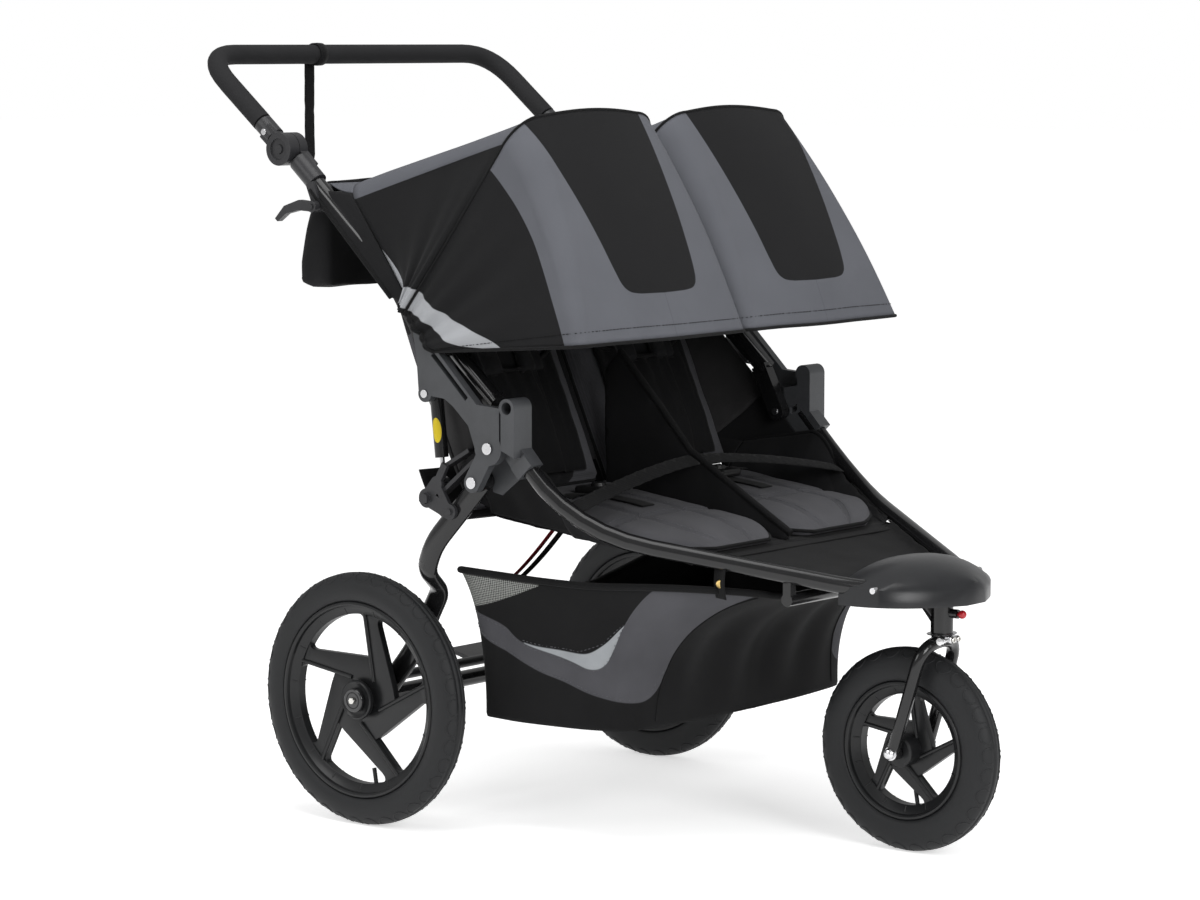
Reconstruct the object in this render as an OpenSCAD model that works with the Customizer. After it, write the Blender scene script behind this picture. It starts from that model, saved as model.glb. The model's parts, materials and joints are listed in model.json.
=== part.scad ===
// Side-by-side double stroller with three wheels, a sprung rear swing arm,
// a folding upper frame, two canopies and a cargo basket.
// Left is +X, the front is -Y, and the ground is Z = 0. Heights are above the
// ground. Places along the stroller are measured from the rear axle.

/* [Wheels] */
// Rear axle to front axle
wheelbase = 778; // [740:1:820]
// Middle of the stroller to the middle of a rear tyre
rear_tyre_x = 368; // [364:1:384]
// Outside radius of a rear tyre
rear_tyre_r = 199; // [190:1:206]
// Half the width of a rear tyre
rear_tyre_half_w = 24; // [20:0.5:25]
// Outside radius of the front tyre
front_tyre_r = 156; // [146:1:160]
// Half the width of the front tyre
front_tyre_half_w = 27; // [20:0.5:30]
// Depth of the rim from the tyre seat inwards
rim_depth = 22; // [14:1:30]
// Spokes in each wheel
spokes = 5; // [3:1:7]
// Radius of a wheel hub
wheel_hub_r = 24; // [20:0.5:30]
// Radius of a rear axle
rear_axle_r = 6; // [4:0.5:8]
// Radius of the front axle
front_axle_r = 4.5; // [3:0.5:6]

/* [Frame] */
// Middle of the stroller to the middle of a lower tube
frame_x = 372; // [368:1:380]
// Radius of a lower tube
lower_tube_r = 13; // [10:0.5:14]
// Middle of the stroller to the middle of an upper tube
upper_x = 346; // [330:1:346]
// Radius of an upper tube
upper_tube_r = 12.5; // [10:0.5:12.5]
// Main pivot, forward of the rear axle
pivot_fwd = 280; // [270:1:290]
// Main pivot, height
pivot_h = 613; // [600:1:626]
// Radius of the main pivot bolt
pivot_r = 6; // [4:0.5:7]
// Bend of a lower tube, forward of the rear axle
elbow_fwd = 422; // [410:1:440]
// Bend of a lower tube, height
elbow_h = 495; // [485:1:505]
// Where a lower tube enters the nose: out from the middle
nose_tube_x = 143; // [120:1:160]
// Where a lower tube enters the nose: forward of the rear axle
nose_tube_fwd = 766; // [750:1:780]
// Front end of the lower tube above the fork crown
nose_rise = 96; // [90:1:102]
// Radius of the hole in an accessory socket
socket_r = 9.5; // [7:0.5:10]

/* [Push bar] */
// Hub centre, behind the rear axle
hub_back = 172; // [150:1:190]
// Hub centre, height
hub_h = 1053; // [1020:1:1080]
// Radius of a hub
hub_r = 26; // [22:0.5:28]
// Middle of the stroller to the side of the bar
bar_x = 354; // [350:1:358]
// Middle of the grip, behind the rear axle
grip_back = 351; // [330:1:380]
// Middle of the grip, height
grip_h = 1200; // [1150:1:1240]
// Radius of the foam grip
grip_r = 16; // [14:0.5:18]
// Radius of the bar tube
bar_r = 11; // [9:0.5:12]

/* [Suspension] */
// Swing-arm pivot, forward of the rear axle
swing_fwd = 248; // [244:1:252]
// Swing-arm pivot below the main pivot
swing_drop = 54; // [50:1:58]
// Top shock bolt, forward of the rear axle
shock_top_fwd = 155; // [150:1:160]
// Upper eye of the shock above the main pivot
shock_top_rise = 76; // [68:1:82]
// Bottom shock joint, forward of the rear axle
shock_low_fwd = 170; // [165:1:175]
// Lower eye of the shock below the main pivot
shock_low_drop = 61; // [57:1:65]
// Radius of a shock body
shock_r = 10.5; // [8:0.5:11]
// Thickness of a tower
tower_t = 14; // [10:0.5:18]

/* [Fork] */
// Steering axis, forward of the front axle
trail = 55; // [45:1:60]
// Fork crown above the front tyre
crown_gap = 10; // [8:1:18]
// Middle of the fork to the middle of a blade
blade_x = 47; // [44:1:52]
// Radius of a fork blade
blade_r = 10; // [8:0.5:11]
// Radius of the steerer pin
steerer_r = 8; // [6:0.5:10]

/* [Seats] */
// Outer side of a seat cushion from the middle
seat_out_x = 298; // [280:1:300]
// Inner side of a seat cushion from the middle
seat_in_x = 14; // [12:1:24]
// Front of the cushions, forward of the rear axle
seat_front_fwd = 556; // [540:1:558]
// Back of the cushions, forward of the rear axle
seat_rear_fwd = 192; // [190:1:210]
// Underside of the cushions at the back, height
seat_low_h = 500; // [494:1:504]
// Drop of the cushions from back to front
seat_drop = 46; // [36:1:50]
// Thickness of a seat cushion at its edge
seat_pad_t = 26; // [20:1:32]
// Crown of a seat cushion
seat_crown = 10; // [4:1:14]
// Length of a seat back along its slope
back_len = 440; // [410:1:450]
// Thickness of a seat back
back_t = 34; // [26:1:38]
// Slope of a seat back from level, in degrees
back_slope = 66; // [64:0.5:68]

/* [Canopies] */
// Middle bow top, forward of the rear axle
bow_fwd = 300; // [280:1:320]
// Middle bow top, height
bow_h = 1110; // [1090:1:1130]
// Front edge, forward of the rear axle
visor_fwd = 474; // [450:1:500]
// Front edge, height
visor_h = 777; // [765:1:790]
// Front edge, half the width over both canopies
visor_x = 415; // [408:1:424]
// Thickness of the canopy cloth
cloth_t = 3; // [2:0.5:4]

/* [Basket] */
// Height of the basket's rim at the back
basket_rim_h = 413; // [405:1:416]
// Height of the basket's floor
basket_floor_h = 188; // [175:1:200]
// Half the width of the basket's rim
basket_x = 332; // [300:1:333]
// Front of the basket, forward of the rear axle
basket_front_fwd = 690; // [670:1:692]
// Wall of the basket
basket_wall = 4; // [3:0.5:6]

/* [Hidden] */
$fn = 48;

// Clearances and the overrun of every cut
fit = 0.05;
face_gap = 0.5;
skin_gap = 0.4;
over = 2;
tube_sides = 16;
strap_t = 2.5;

// Finishes
tube_black = [0.07, 0.07, 0.08];
moulded_grey = [0.24, 0.25, 0.27];
cloth_black = [0.11, 0.11, 0.12];
cloth_grey = [0.36, 0.36, 0.40];
pad_grey = [0.20, 0.20, 0.22];
rubber_black = [0.09, 0.09, 0.10];
bright_steel = [0.78, 0.79, 0.80];
signal_red = [0.70, 0.06, 0.08];

// Places in the side view, as [along, height]
pivot = [-pivot_fwd, pivot_h];
hub = [hub_back, hub_h];
grip = [grip_back, grip_h];
swing = [-swing_fwd, pivot_h - swing_drop];
shock_top = [-shock_top_fwd, pivot_h + shock_top_rise];
shock_low = [-shock_low_fwd, pivot_h - shock_low_drop];
rear_axle_c = [0, rear_tyre_r];
front_axle_c = [-wheelbase, front_tyre_r];
steer_y = -wheelbase - trail;
crown_h = 2 * front_tyre_r + crown_gap;
nose_tube_h = crown_h + nose_rise;

// The origin lies under the middle of the box round the whole stroller
front_reach = wheelbase + front_tyre_r;
rear_reach = grip_back + grip_r + skin_gap + strap_t;
origin_shift = (front_reach - rear_reach) / 2;

// Layers from the middle outwards on each side
tower_in_x = frame_x + lower_tube_r + 2 * face_gap;
tower_out_x = tower_in_x + tower_t;
arm_half_t = 10.5;
arm_top_x = tower_in_x - 2 * face_gap - arm_half_t;
arm_low_x = rear_tyre_x - rear_tyre_half_w - 18;
plate_t = 6;

function unit(v) = v / norm(v);
function p3(x, p) = [x, p[0], p[1]];
function mix(a, b, t) = a + (b - a) * t;
function flip(p) = [-p[0], p[1], p[2]];
function reversed(list) = [for (i = [len(list) - 1:-1:0]) list[i]];
function bell(d, w) = exp(-(d / w) * (d / w));
function arc_point(a, e, c, t) = mix(mix(a, e, t), mix(e, c, t), t);

// A path through points p, with each inner corner rounded over the length cuts[i - 1]
function rounded(p, cuts, n = 6) = concat([p[0]],
    [for (i = [1:len(p) - 2]) let (
        a = p[i] + cuts[i - 1] * unit(p[i - 1] - p[i]),
        c = p[i] + cuts[i - 1] * unit(p[i + 1] - p[i]))
        for (k = [0:n]) arc_point(a, p[i], c, k / n)],
    [p[len(p) - 1]]);

// A closed solid between two grids of points that share their edges' order
module skin(top, low) {
    nu = len(top);
    nv = len(top[0]);
    n = nu * nv;
    points = concat([for (row = top) for (p = row) p], [for (row = low) for (p = row) p]);
    function at(i, j) = i * nv + j;
    top_faces = [for (i = [0:nu - 2]) for (j = [0:nv - 2]) each [
        [at(i, j), at(i, j + 1), at(i + 1, j + 1)], [at(i, j), at(i + 1, j + 1), at(i + 1, j)]]];
    low_faces = [for (f = top_faces) [f[2] + n, f[1] + n, f[0] + n]];
    rim = concat([for (j = [0:nv - 1]) at(0, j)], [for (i = [1:nu - 1]) at(i, nv - 1)],
        [for (j = [nv - 2:-1:0]) at(nu - 1, j)], [for (i = [nu - 2:-1:1]) at(i, 0)]);
    m = len(rim);
    rim_faces = [for (k = [0:m - 1]) let (a = rim[k], b = rim[(k + 1) % m]) each [
        [b, a, a + n], [b, a + n, b + n]]];
    polyhedron(points, concat(top_faces, low_faces, rim_faces), convexity = 10);
}

// A round or oval bar along a path; r is [in the plane across ref, along ref]
module bar(path, r, ref = [1, 0, 0], sides = tube_sides) {
    n = len(path);
    points = [for (i = [0:n - 1]) let (
        t = unit(path[min(i + 1, n - 1)] - path[max(i - 1, 0)]),
        u = unit(cross(t, ref)),
        v = cross(u, t))
        for (k = [0:sides - 1]) path[i] + r[0] * cos(360 * k / sides) * u + r[1] * sin(360 * k / sides) * v];
    walls = [for (i = [0:n - 2]) for (k = [0:sides - 1]) let (
        a = i * sides + k,
        b = i * sides + (k + 1) % sides) each [[a, b, b + sides], [a, b + sides, a + sides]]];
    first = [for (k = [1:sides - 2]) [0, k + 1, k]];
    last = (n - 1) * sides;
    ends = [for (k = [1:sides - 2]) [last, last + k, last + k + 1]];
    polyhedron(points, concat(walls, first, ends), convexity = 10);
}

// A flat shape in the side view, from x0 to x1
module plate(x0, x1) {
    translate([x0, 0, 0]) rotate([90, 0, 90]) linear_extrude(height = x1 - x0) children();
}

// A round pin across the stroller, at p in the side view, from x0 to x1
module pin(p, r, x0, x1) {
    translate([x0, p[0], p[1]]) rotate([0, 90, 0]) cylinder(r = r, h = x1 - x0);
}

module disc2d(p, r) {
    translate(p) circle(r = r);
}

// A straight band of half-width w from a to b in the side view
module band2d(a, b, w) {
    d = unit(b - a);
    n = w * [-d[1], d[0]];
    polygon([a + n, b + n, b - n, a - n]);
}

module place() {
    translate([0, origin_shift, 0]) children();
}

// side is 1 for left and -1 for right
module on_side(side) {
    place() scale_side(side) children();
}

module scale_side(side) {
    if (side < 0) mirror([1, 0, 0]) children();
    else children();
}

module both() {
    on_side(1) children();
    on_side(-1) children();
}

// Lower tubes
tube_top_fwd = pivot_fwd + 32;
tube_top_h = pivot_h - 1;
nose_in_x = 62;
nose_in_fwd = nose_tube_fwd + 82;
nose_in_h = nose_tube_h - 12;
elbow_cut = 120;
nose_cut = 30;
lower_path = rounded([[frame_x, -tube_top_fwd, tube_top_h], [frame_x, -elbow_fwd, elbow_h],
    [nose_tube_x, -nose_tube_fwd, nose_tube_h], [nose_in_x, -nose_in_fwd, nose_in_h]],
    [elbow_cut, nose_cut]);

module lower_tube(side) {
    color(tube_black) on_side(side) bar(lower_path, [lower_tube_r, lower_tube_r]);
}

module lower_tube_right() {
    lower_tube(-1);
}

module lower_tube_left() {
    lower_tube(1);
}

// Main brackets: a boss on the main pivot, a channel round the lower tube and an
// accessory socket at the top front
boss_r = 14;
tower_disc_r = 26;
socket_p = pivot + [-38, 63];
socket_wall = 5;
channel_half_w = 17;
channel_len = 44;
guard_t = 2;
strip_rear_y = -pivot_fwd - tower_disc_r - 2 * face_gap;
strip_front_y = socket_p[0] - socket_r - socket_wall;
bracket_out_x = tower_out_x + 2;
tube_top = [-tube_top_fwd, tube_top_h];
tube_dir = unit([-elbow_fwd, elbow_h] - tube_top);

module main_brackets() {
    lift = 10;
    web_shares = [[0, 0], [0, 0.6], [1, 0.75], [1, 0.35]];
    web_w = strip_front_y - pivot[0] + socket_wall;
    web_h = socket_p[1] - pivot[1];
    guard_shares = [[-0.55, 0.1], [-0.75, -0.38], [0.05, -1], [0.3, -0.95], [0.35, -0.3]];
    guard_size = 74;
    color(moulded_grey) both() difference() {
        union() {
            pin(pivot, boss_r, frame_x - lower_tube_r + face_gap, tower_in_x - face_gap);
            plate(frame_x - lower_tube_r + face_gap, tower_in_x - face_gap)
                polygon([for (s = web_shares) pivot + [s[0] * web_w, s[1] * web_h]]);
            plate(frame_x - lower_tube_r + face_gap, bracket_out_x)
                polygon([[strip_rear_y, tube_top[1]], [strip_rear_y, socket_p[1]],
                    [strip_front_y, socket_p[1]], [strip_front_y, tube_top[1] - lift]]);
            pin(socket_p, socket_r + socket_wall, frame_x - lower_tube_r + face_gap, bracket_out_x);
            plate(frame_x - lower_tube_r + face_gap, tower_in_x - face_gap)
                band2d(tube_top, tube_top + channel_len * tube_dir, channel_half_w);
            plate(frame_x - lower_tube_r + face_gap, tower_in_x + over)
                band2d(tube_top + channel_len / 2 * tube_dir, tube_top + channel_len * tube_dir,
                    channel_half_w);
            plate(frame_x - lower_tube_r + face_gap, frame_x - lower_tube_r + face_gap + guard_t)
                polygon([for (s = guard_shares) pivot + guard_size * s]);
        }
        pin(pivot, pivot_r + fit, upper_x, tower_out_x + over);
        pin(socket_p, socket_r, frame_x, bracket_out_x + over);
        hull() {
            translate(p3(frame_x, tube_top) - lower_tube_r * p3(0, tube_dir) / 20)
                rotate([atan2(-tube_dir[0], tube_dir[1]), 0, 0])
                    cylinder(r = lower_tube_r + skin_gap, h = channel_len + elbow_cut, $fn = 32);
        }
        pin(pivot, tower_disc_r + face_gap, tower_in_x - face_gap, bracket_out_x + over);
    }
}

// Main pivot bolts, each with a round head outside the tower
bolt_head_r = 9;
bolt_head_t = 3;

module main_pivot_bolts() {
    color(bright_steel) both() union() {
        pin(pivot, pivot_r, upper_x - upper_tube_r, tower_out_x + face_gap + bolt_head_t);
        pin(pivot, bolt_head_r, tower_out_x + face_gap, tower_out_x + face_gap + bolt_head_t);
    }
}

// Nose cap: a moulded shell over the meeting tubes
cap_rear_fwd = nose_tube_fwd - 14;
cap_len = 141;
cap_w = 156;
cap_edge_h = nose_tube_h + 2;
cap_top_h = nose_tube_h + 42;
cap_low_h = nose_tube_h - 26;
cap_wall = 4;
cap_tip_share = 0.16;

function cap_w_at(v) = cap_w * max(cap_tip_share, pow(1 - pow(v, 2.1), 0.62));
function cap_h_at(u, v) = cap_edge_h - 16 * v * v
    + (cap_top_h - cap_edge_h) * (1 - pow(abs(u), 2.2)) * (0.72 + 1.1 * v * (0.75 - v));
function cap_point(u, v, inset) = let (w = cap_w_at(v) - inset) [u * w,
    -cap_rear_fwd - v * cap_len + inset * v,
    cap_h_at(u, v) - inset];
function cap_skirt(u, v, inset) = let (p = cap_point(u, v, inset)) [p[0], p[1], cap_low_h - 4 * v];
function cap_grid(inset, nu, nv) = concat([for (i = [0:nu]) let (v = i / nu) concat([cap_skirt(-1, v,
    inset)],
    [for (j = [0:nv]) cap_point(2 * j / nv - 1, v, inset)], [cap_skirt(1, v, inset)])],
    [[for (j = [-1:nv + 1]) let (u = min(1, max(-1, 2 * j / nv - 1))) cap_skirt(u, 1, inset)]]);

module nose_cap() {
    color(moulded_grey) place() difference() {
        skin(cap_grid(0, 12, 12), cap_grid(cap_wall, 12, 12));
        for (s = [1, -1]) scale_side(s) bar(lower_path, (lower_tube_r + skin_gap) * [1, 1]);
    }
}

module nose_bolts() {
    bolt_r = 5;
    v_share = 0.38;
    color(bright_steel) both()
        pin([-cap_rear_fwd - v_share * cap_len, cap_edge_h - cap_wall], bolt_r,
            cap_w_at(v_share) - 2 * cap_wall, cap_w_at(v_share) + bolt_head_t);
}

// Head tube with its down tube and the boss of the swivel-lock knob
head_r = 17;
head_low_h = crown_h + 18;
head_top_h = cap_low_h - 4 - face_gap;
knob_h = (head_low_h + head_top_h) / 2 + 6;
knob_pin_r = 3;
knob_boss_r = 7;
knob_boss_y = steer_y - head_r - 12;

module head_tube() {
    down_r = 13;
    down_path = rounded([[0, steer_y + 76, nose_tube_h - 14], [0, steer_y + 36, nose_tube_h - 22],
        [0, steer_y, head_low_h + down_r]], [26]);
    yoke_r = 11;
    yoke_over = 10;
    color(tube_black) place() difference() {
        union() {
            translate([0, steer_y, head_low_h]) cylinder(r = head_r, h = nose_in_h - head_low_h);
            pin([-nose_in_fwd + yoke_over, nose_in_h], yoke_r, -nose_in_x - yoke_over,
                nose_in_x + yoke_over);
            bar(down_path, [down_r, down_r], ref = [1, 0, 0]);
            translate([0, knob_boss_y, knob_h]) rotate([-90, 0, 0])
                cylinder(r = knob_boss_r, h = steer_y - knob_boss_y - steerer_r);
        }
        translate([0, steer_y, head_low_h - over])
            cylinder(r = steerer_r + fit, h = head_top_h - head_low_h + over);
        for (s = [1, -1]) scale_side(s) bar(lower_path, (lower_tube_r + fit) * [1, 1]);
        translate([0, knob_boss_y - over, knob_h]) rotate([-90, 0, 0])
            cylinder(r = knob_pin_r + fit, h = head_r + 2 * over);
    }
}

module swivel_knob() {
    ball_r = 6.5;
    shaft_l = 18;
    color(signal_red) place() translate([0, knob_boss_y - face_gap, knob_h]) rotate([90, 0, 0]) union() {
        translate([0, 0, -shaft_l]) cylinder(r = knob_pin_r, h = shaft_l + ball_r);
        intersection() {
            translate([0, 0, ball_r]) sphere(r = ball_r);
            cylinder(r = ball_r, h = 2 * ball_r);
        }
    }
}

// Front cross tube under the footwell, between the lower tubes, with drop lugs
cross_r = 10;
cross_fwd = nose_tube_fwd - 76;

module front_cross_tube() {
    lug_half_w = 7;
    cross_share = (nose_tube_fwd - cross_fwd) / (nose_tube_fwd - elbow_fwd);
    tube_x = mix(nose_tube_x, frame_x, cross_share);
    tube_h = mix(nose_tube_h, elbow_h, cross_share);
    cross_h = tube_h - lower_tube_r - cross_r - 14;
    color(tube_black) place() difference() {
        union() {
            pin([-cross_fwd, cross_h], cross_r, -tube_x - lug_half_w, tube_x + lug_half_w);
            for (s = [1, -1]) scale_side(s)
                plate(tube_x - lug_half_w, tube_x + lug_half_w)
                    band2d([-cross_fwd, cross_h], [-cross_fwd, tube_h], lug_half_w);
        }
        for (s = [1, -1]) scale_side(s) bar(lower_path, (lower_tube_r + skin_gap) * [1, 1]);
    }
}

// Seat sling and footwell mat: one cloth trough laced between the lower tubes
sling_t = 3;
sling_wall_x = 304;

// Underside of the cushions at a place along the stroller
function seat_low_at(y) = seat_low_h - seat_drop * (-y - seat_rear_fwd) / (seat_front_fwd - seat_rear_fwd);

function tube_slant(y) = let (a = on_tube(y + 4), b = on_tube(y - 4)) norm([a[0] - b[0],
    a[1] - b[1]]) / abs(a[1] - b[1]);
function sling_top_x(y) = on_tube(y)[0] - (lower_tube_r + 2 * skin_gap) * tube_slant(y);
function sling_wall_at(y) = min(sling_wall_x, sling_top_x(y) - 10);
function sling_row(c, floor_h, t) = let (
    top_x = sling_top_x(c[1]),
    wall_x = sling_wall_at(c[1]),
    half = [[wall_x * 0.45, floor_h - t], [wall_x - 4 + t / 2, floor_h - t], [wall_x + t,
        floor_h + 4 - t / 2],
        [mix(wall_x, top_x, 0.55) + t, mix(floor_h, c[2], 0.6)], [top_x, c[2] - 2 * t]])
    concat([for (p = reversed(half)) [-p[0], c[1], p[1]]], [[0, c[1], floor_h - t]],
        [for (p = half) [p[0], c[1], p[1]]]);
function on_tube(y) = let (i = max([for (k = [0:len(lower_path) - 2]) lower_path[k][1] >= y ? k : 0]),
    a = lower_path[i], b = lower_path[i + 1]) mix(a, b, (a[1] - y) / (a[1] - b[1]));

module trough(ys, heights, t) {
    top = [for (i = [0:len(ys) - 1]) sling_row(on_tube(ys[i]), heights[i], 0)];
    low = [for (i = [0:len(ys) - 1]) sling_row(on_tube(ys[i]), heights[i], t)];
    skin(top, low);
}

module seat_sling() {
    steps = 6;
    start_y = -tube_top_fwd - channel_len - 4;
    ys = [for (i = [0:steps]) mix(start_y, -seat_front_fwd, i / steps)];
    tail = [for (y = [-seat_rear_fwd, start_y]) [for (s = [-1, -0.5, 0, 0.5, 1])
        [s * seat_out_x, y, seat_low_at(y) - face_gap]]];
    color(cloth_black) place() union() {
        trough(ys, [for (y = ys) seat_low_at(y) - face_gap], sling_t);
        skin(tail, [for (row = tail) [for (p = row) p - [0, 0, sling_t]]]);
    }
}

module footwell_mat() {
    steps = 4;
    sag = 8;
    end_fwd = cap_rear_fwd - 3;
    ys = [for (i = [0:steps]) mix(-seat_front_fwd - face_gap, -end_fwd, i / steps)];
    heights = [for (i = [0:steps]) mix(seat_low_at(-seat_front_fwd) - face_gap, nose_tube_h, i / steps)
        - sag * sin(180 * i / steps)];
    color(cloth_black) place() trough(ys, heights, sling_t);
}

// Seat cushions: crowned, drawn in at the sides, with sewn channels
channel_depth = 5;
channel_w_share = 0.045;
long_channel_shares = [0.3, 0.7];
cross_channel_share = 0.64;
pull_in = 7;

function dome(s) = 1 - pow(abs(2 * s - 1), 3);
function channels(u, v) = channel_depth * max(bell(v - cross_channel_share, channel_w_share),
    max([for (s = long_channel_shares) bell(u - s, channel_w_share)]));
function pad_side_in(s) = pull_in * sin(180 * s);

function seat_point(u, v, up) = let (
    y = mix(-seat_rear_fwd, -seat_front_fwd,
        v) + (v > 0.5 ? 1 : -1) * 0.4 * pad_side_in(u) * (v == 0 || v == 1 ? 1 : 0),
    limit = min(seat_out_x, sling_wall_at(min(y, -tube_top_fwd - 8)) - 5),
    out = limit - pad_side_in(v),
    drop = 16 * pow(max(0, (v - 0.8) / 0.2), 2))
    [mix(seat_in_x + pad_side_in(v) / 2, out, u), y,
        seat_low_at(y) + (up ? seat_pad_t + seat_crown * dome(u) * dome(v) - channels(u, v) - drop : 0)];

module seat_bottom(side) {
    nu = 12;
    nv = 14;
    color(pad_grey) on_side(side) skin(
        [for (i = [0:nv]) [for (j = [0:nu]) seat_point(j / nu, i / nv, true)]],
        [for (i = [0:nv]) [for (j = [0:nu]) seat_point(j / nu, i / nv, false)]]);
}

module seat_bottom_right() {
    seat_bottom(-1);
}

module seat_bottom_left() {
    seat_bottom(1);
}

// Centre divider: a cloth wall between the seats
divider_t = 6;
divider_top = [-218, 733];
divider_mid = [-358, 583];

module seat_divider() {
    color(cloth_black) place() plate(-divider_t / 2, divider_t / 2) polygon([
        divider_top, divider_mid, [-seat_front_fwd + over, seat_low_at(-seat_front_fwd) + seat_pad_t / 2],
        [-seat_front_fwd + over, seat_low_at(-seat_front_fwd + over)], [-seat_rear_fwd, seat_low_h],
        divider_top + [30, -30]]);
}

// Cross webbing from tube to tube, over the divider
webbing_fwd = 392;
webbing_w = 26;
webbing_t = 2;

module seat_webbing() {
    steps = 12;
    rise = divider_mid[1] - divider_t / 2 - 3 - on_tube(-webbing_fwd)[2];
    c = on_tube(-webbing_fwd);
    reach = sling_top_x(-webbing_fwd - webbing_w);
    row = [for (i = [-steps:steps]) [reach * i / steps, mix(-webbing_fwd, divider_mid[0],
        1 - abs(i / steps)),
        c[2] + rise * (1 - pow(abs(i / steps), 1.6))]];
    top = [row, [for (p = row) p - [0, webbing_w, webbing_w / 2]]];
    color(cloth_grey) place() difference() {
        skin(top, [for (r = top) [for (p = r) p - [0, 0, webbing_t]]]);
        plate(-divider_t / 2 - skin_gap, divider_t / 2 + skin_gap)
            polygon([divider_top, divider_mid + [0, skin_gap], [-seat_front_fwd,
                seat_low_at(-seat_front_fwd) + seat_pad_t],
                [-seat_rear_fwd, seat_low_h]]);
    }
}

// Cargo basket: an open cloth tub, hung by tabs from the lower tubes
basket_rear_fwd = 146;
rim_shares = [[0, 0, -0.3], [1, 0, 0], [1, 0.29, -0.02], [1, 0.5, -0.02], [0.88, 0.72, 0], [0.71, 0.88,
    -0.02],
    [0.4, 0.93, -0.1], [0, 0.94, -0.12]];
floor_shares = [[0, 0.05, 0.01], [0.9, 0.055, 0.01], [0.905, 0.2, 0], [0.9, 0.42, 0.01], [0.87, 0.54,
    0.02],
    [0.78, 0.59, 0.03], [0.4, 0.615, 0.03], [0, 0.62, 0.03]];
front_pull = 3;

function basket_half(level, wall) = let (
    len_y = basket_front_fwd - basket_rear_fwd,
    high = basket_rim_h - basket_floor_h)
    [for (i = [0:len(rim_shares) - 1]) let (
        s = mix(rim_shares[i], floor_shares[i], level),
        along = mix(rim_shares[i][1], floor_shares[i][1], 1 - pow(1 - level, front_pull)),
        base = mix(basket_rim_h, basket_floor_h, level),
        bulge = 7 * sin(180 * level))
        [s[0] * (basket_x - wall + bulge * (1 - level)),
            -basket_rear_fwd - wall - along * (len_y - 2 * wall),
            base + s[2] * high + (level == 1 ? wall : 0)]];
function full_loop(half) = concat(half, [for (i = [len(half) - 2:-1:1]) flip(half[i])]);

module tub(outer, inner) {
    k = len(outer);
    n = len(outer[0]);
    points = concat([for (l = outer) each l], [for (l = inner) each l]);
    shift = k * n;
    function wall(o, i, j) = let (a = o + i * n + j, b = o + i * n + (j + 1) % n) [[a, b, b + n], [a,
        b + n, a + n]];
    function swap(list) = [for (f = list) [f[0], f[2], f[1]]];
    half = n / 2;
    function cap(o) = concat([[o, o + 1, o + n - 1]],
        [for (i = [1:half - 2]) each [[o + i, o + i + 1, o + n - i], [o + i + 1, o + n - i - 1,
            o + n - i]]],
        [[o + half - 1, o + half, o + half + 1]]);
    outer_walls = [for (i = [0:k - 2]) for (j = [0:n - 1]) each wall(0, i, j)];
    inner_walls = [for (i = [0:k - 2]) for (j = [0:n - 1]) each swap(wall(shift, i, j))];
    rim = [for (j = [0:n - 1]) let (a = j, b = (j + 1) % n) each [[a, a + shift, b + shift], [a,
        b + shift, b]]];
    polyhedron(points, concat(outer_walls, inner_walls, rim, cap((k - 1) * n),
        swap(cap(shift + (k - 1) * n))),
        convexity = 10);
}

module basket() {
    levels = [0, 0.3, 0.65, 1];
    tab_w = 16;
    tab_t = 3;
    tab_y = -606;
    tube = on_tube(tab_y);
    color(cloth_black) place() union() {
        tub([for (l = levels) full_loop(basket_half(l, 0))], [for (l = levels) full_loop(basket_half(l,
            basket_wall))]);
        for (s = [1, -1]) scale_side(s)
            translate([tube[0] - tab_t, tab_y - tab_w / 2, basket_rim_h - tab_w / 2])
                cube([tab_t, tab_w, tube[2] - lower_tube_r - face_gap - basket_rim_h + tab_w / 2]);
    }
}

// Upper tubes with the lug that turns on the main pivot and the lug that the tower latches on
upper_low = pivot + [26, 65];
upper_dir = unit(hub - upper_low);
upper_len = norm(hub - upper_low);
lug_half_t = 10;

module upper_tubes() {
    lug_r = 14;
    latch_at_share = 0.2;
    latch_half_w = 9;
    latch_p = upper_low + latch_at_share * upper_len * upper_dir;
    color(tube_black) both() difference() {
        union() {
            translate(p3(upper_x, upper_low)) rotate([-atan2(upper_dir[0], upper_dir[1]), 0, 0])
                cylinder(r = upper_tube_r, h = upper_len - hub_r - face_gap);
            plate(upper_x - lug_half_t, upper_x + lug_half_t) union() {
                disc2d(pivot, lug_r);
                band2d(pivot, upper_low + lug_r * upper_dir, lug_r);
            }
            pin(latch_p, latch_half_w, upper_x, tower_in_x - face_gap);
        }
        pin(pivot, pivot_r + fit, upper_x - upper_tube_r - over, upper_x + upper_tube_r + over);
    }
}

// Upper cross tube between the upper tubes
upper_cross_share = 0.83;
upper_cross_r = 10;
upper_cross_p = upper_low + upper_cross_share * upper_len * upper_dir;

module upper_cross_tube() {
    color(tube_black) place() difference() {
        pin(upper_cross_p, upper_cross_r, -upper_x, upper_x);
        for (s = [1, -1]) scale_side(s)
            translate(p3(upper_x, upper_low)) rotate([-atan2(upper_dir[0], upper_dir[1]), 0, 0])
                cylinder(r = upper_tube_r + fit, h = upper_len);
    }
}

// Hub bases on the upper tubes: a disc, a sleeve on the tube and a bore for the adjusting button
base_in_x = upper_x - upper_tube_r - 2;
base_out_x = upper_x + 3;
hub_pin_r = 7;
sleeve_r = 17;
sleeve_l = 50;
button_r = 12;
button_depth = 8;

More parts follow.
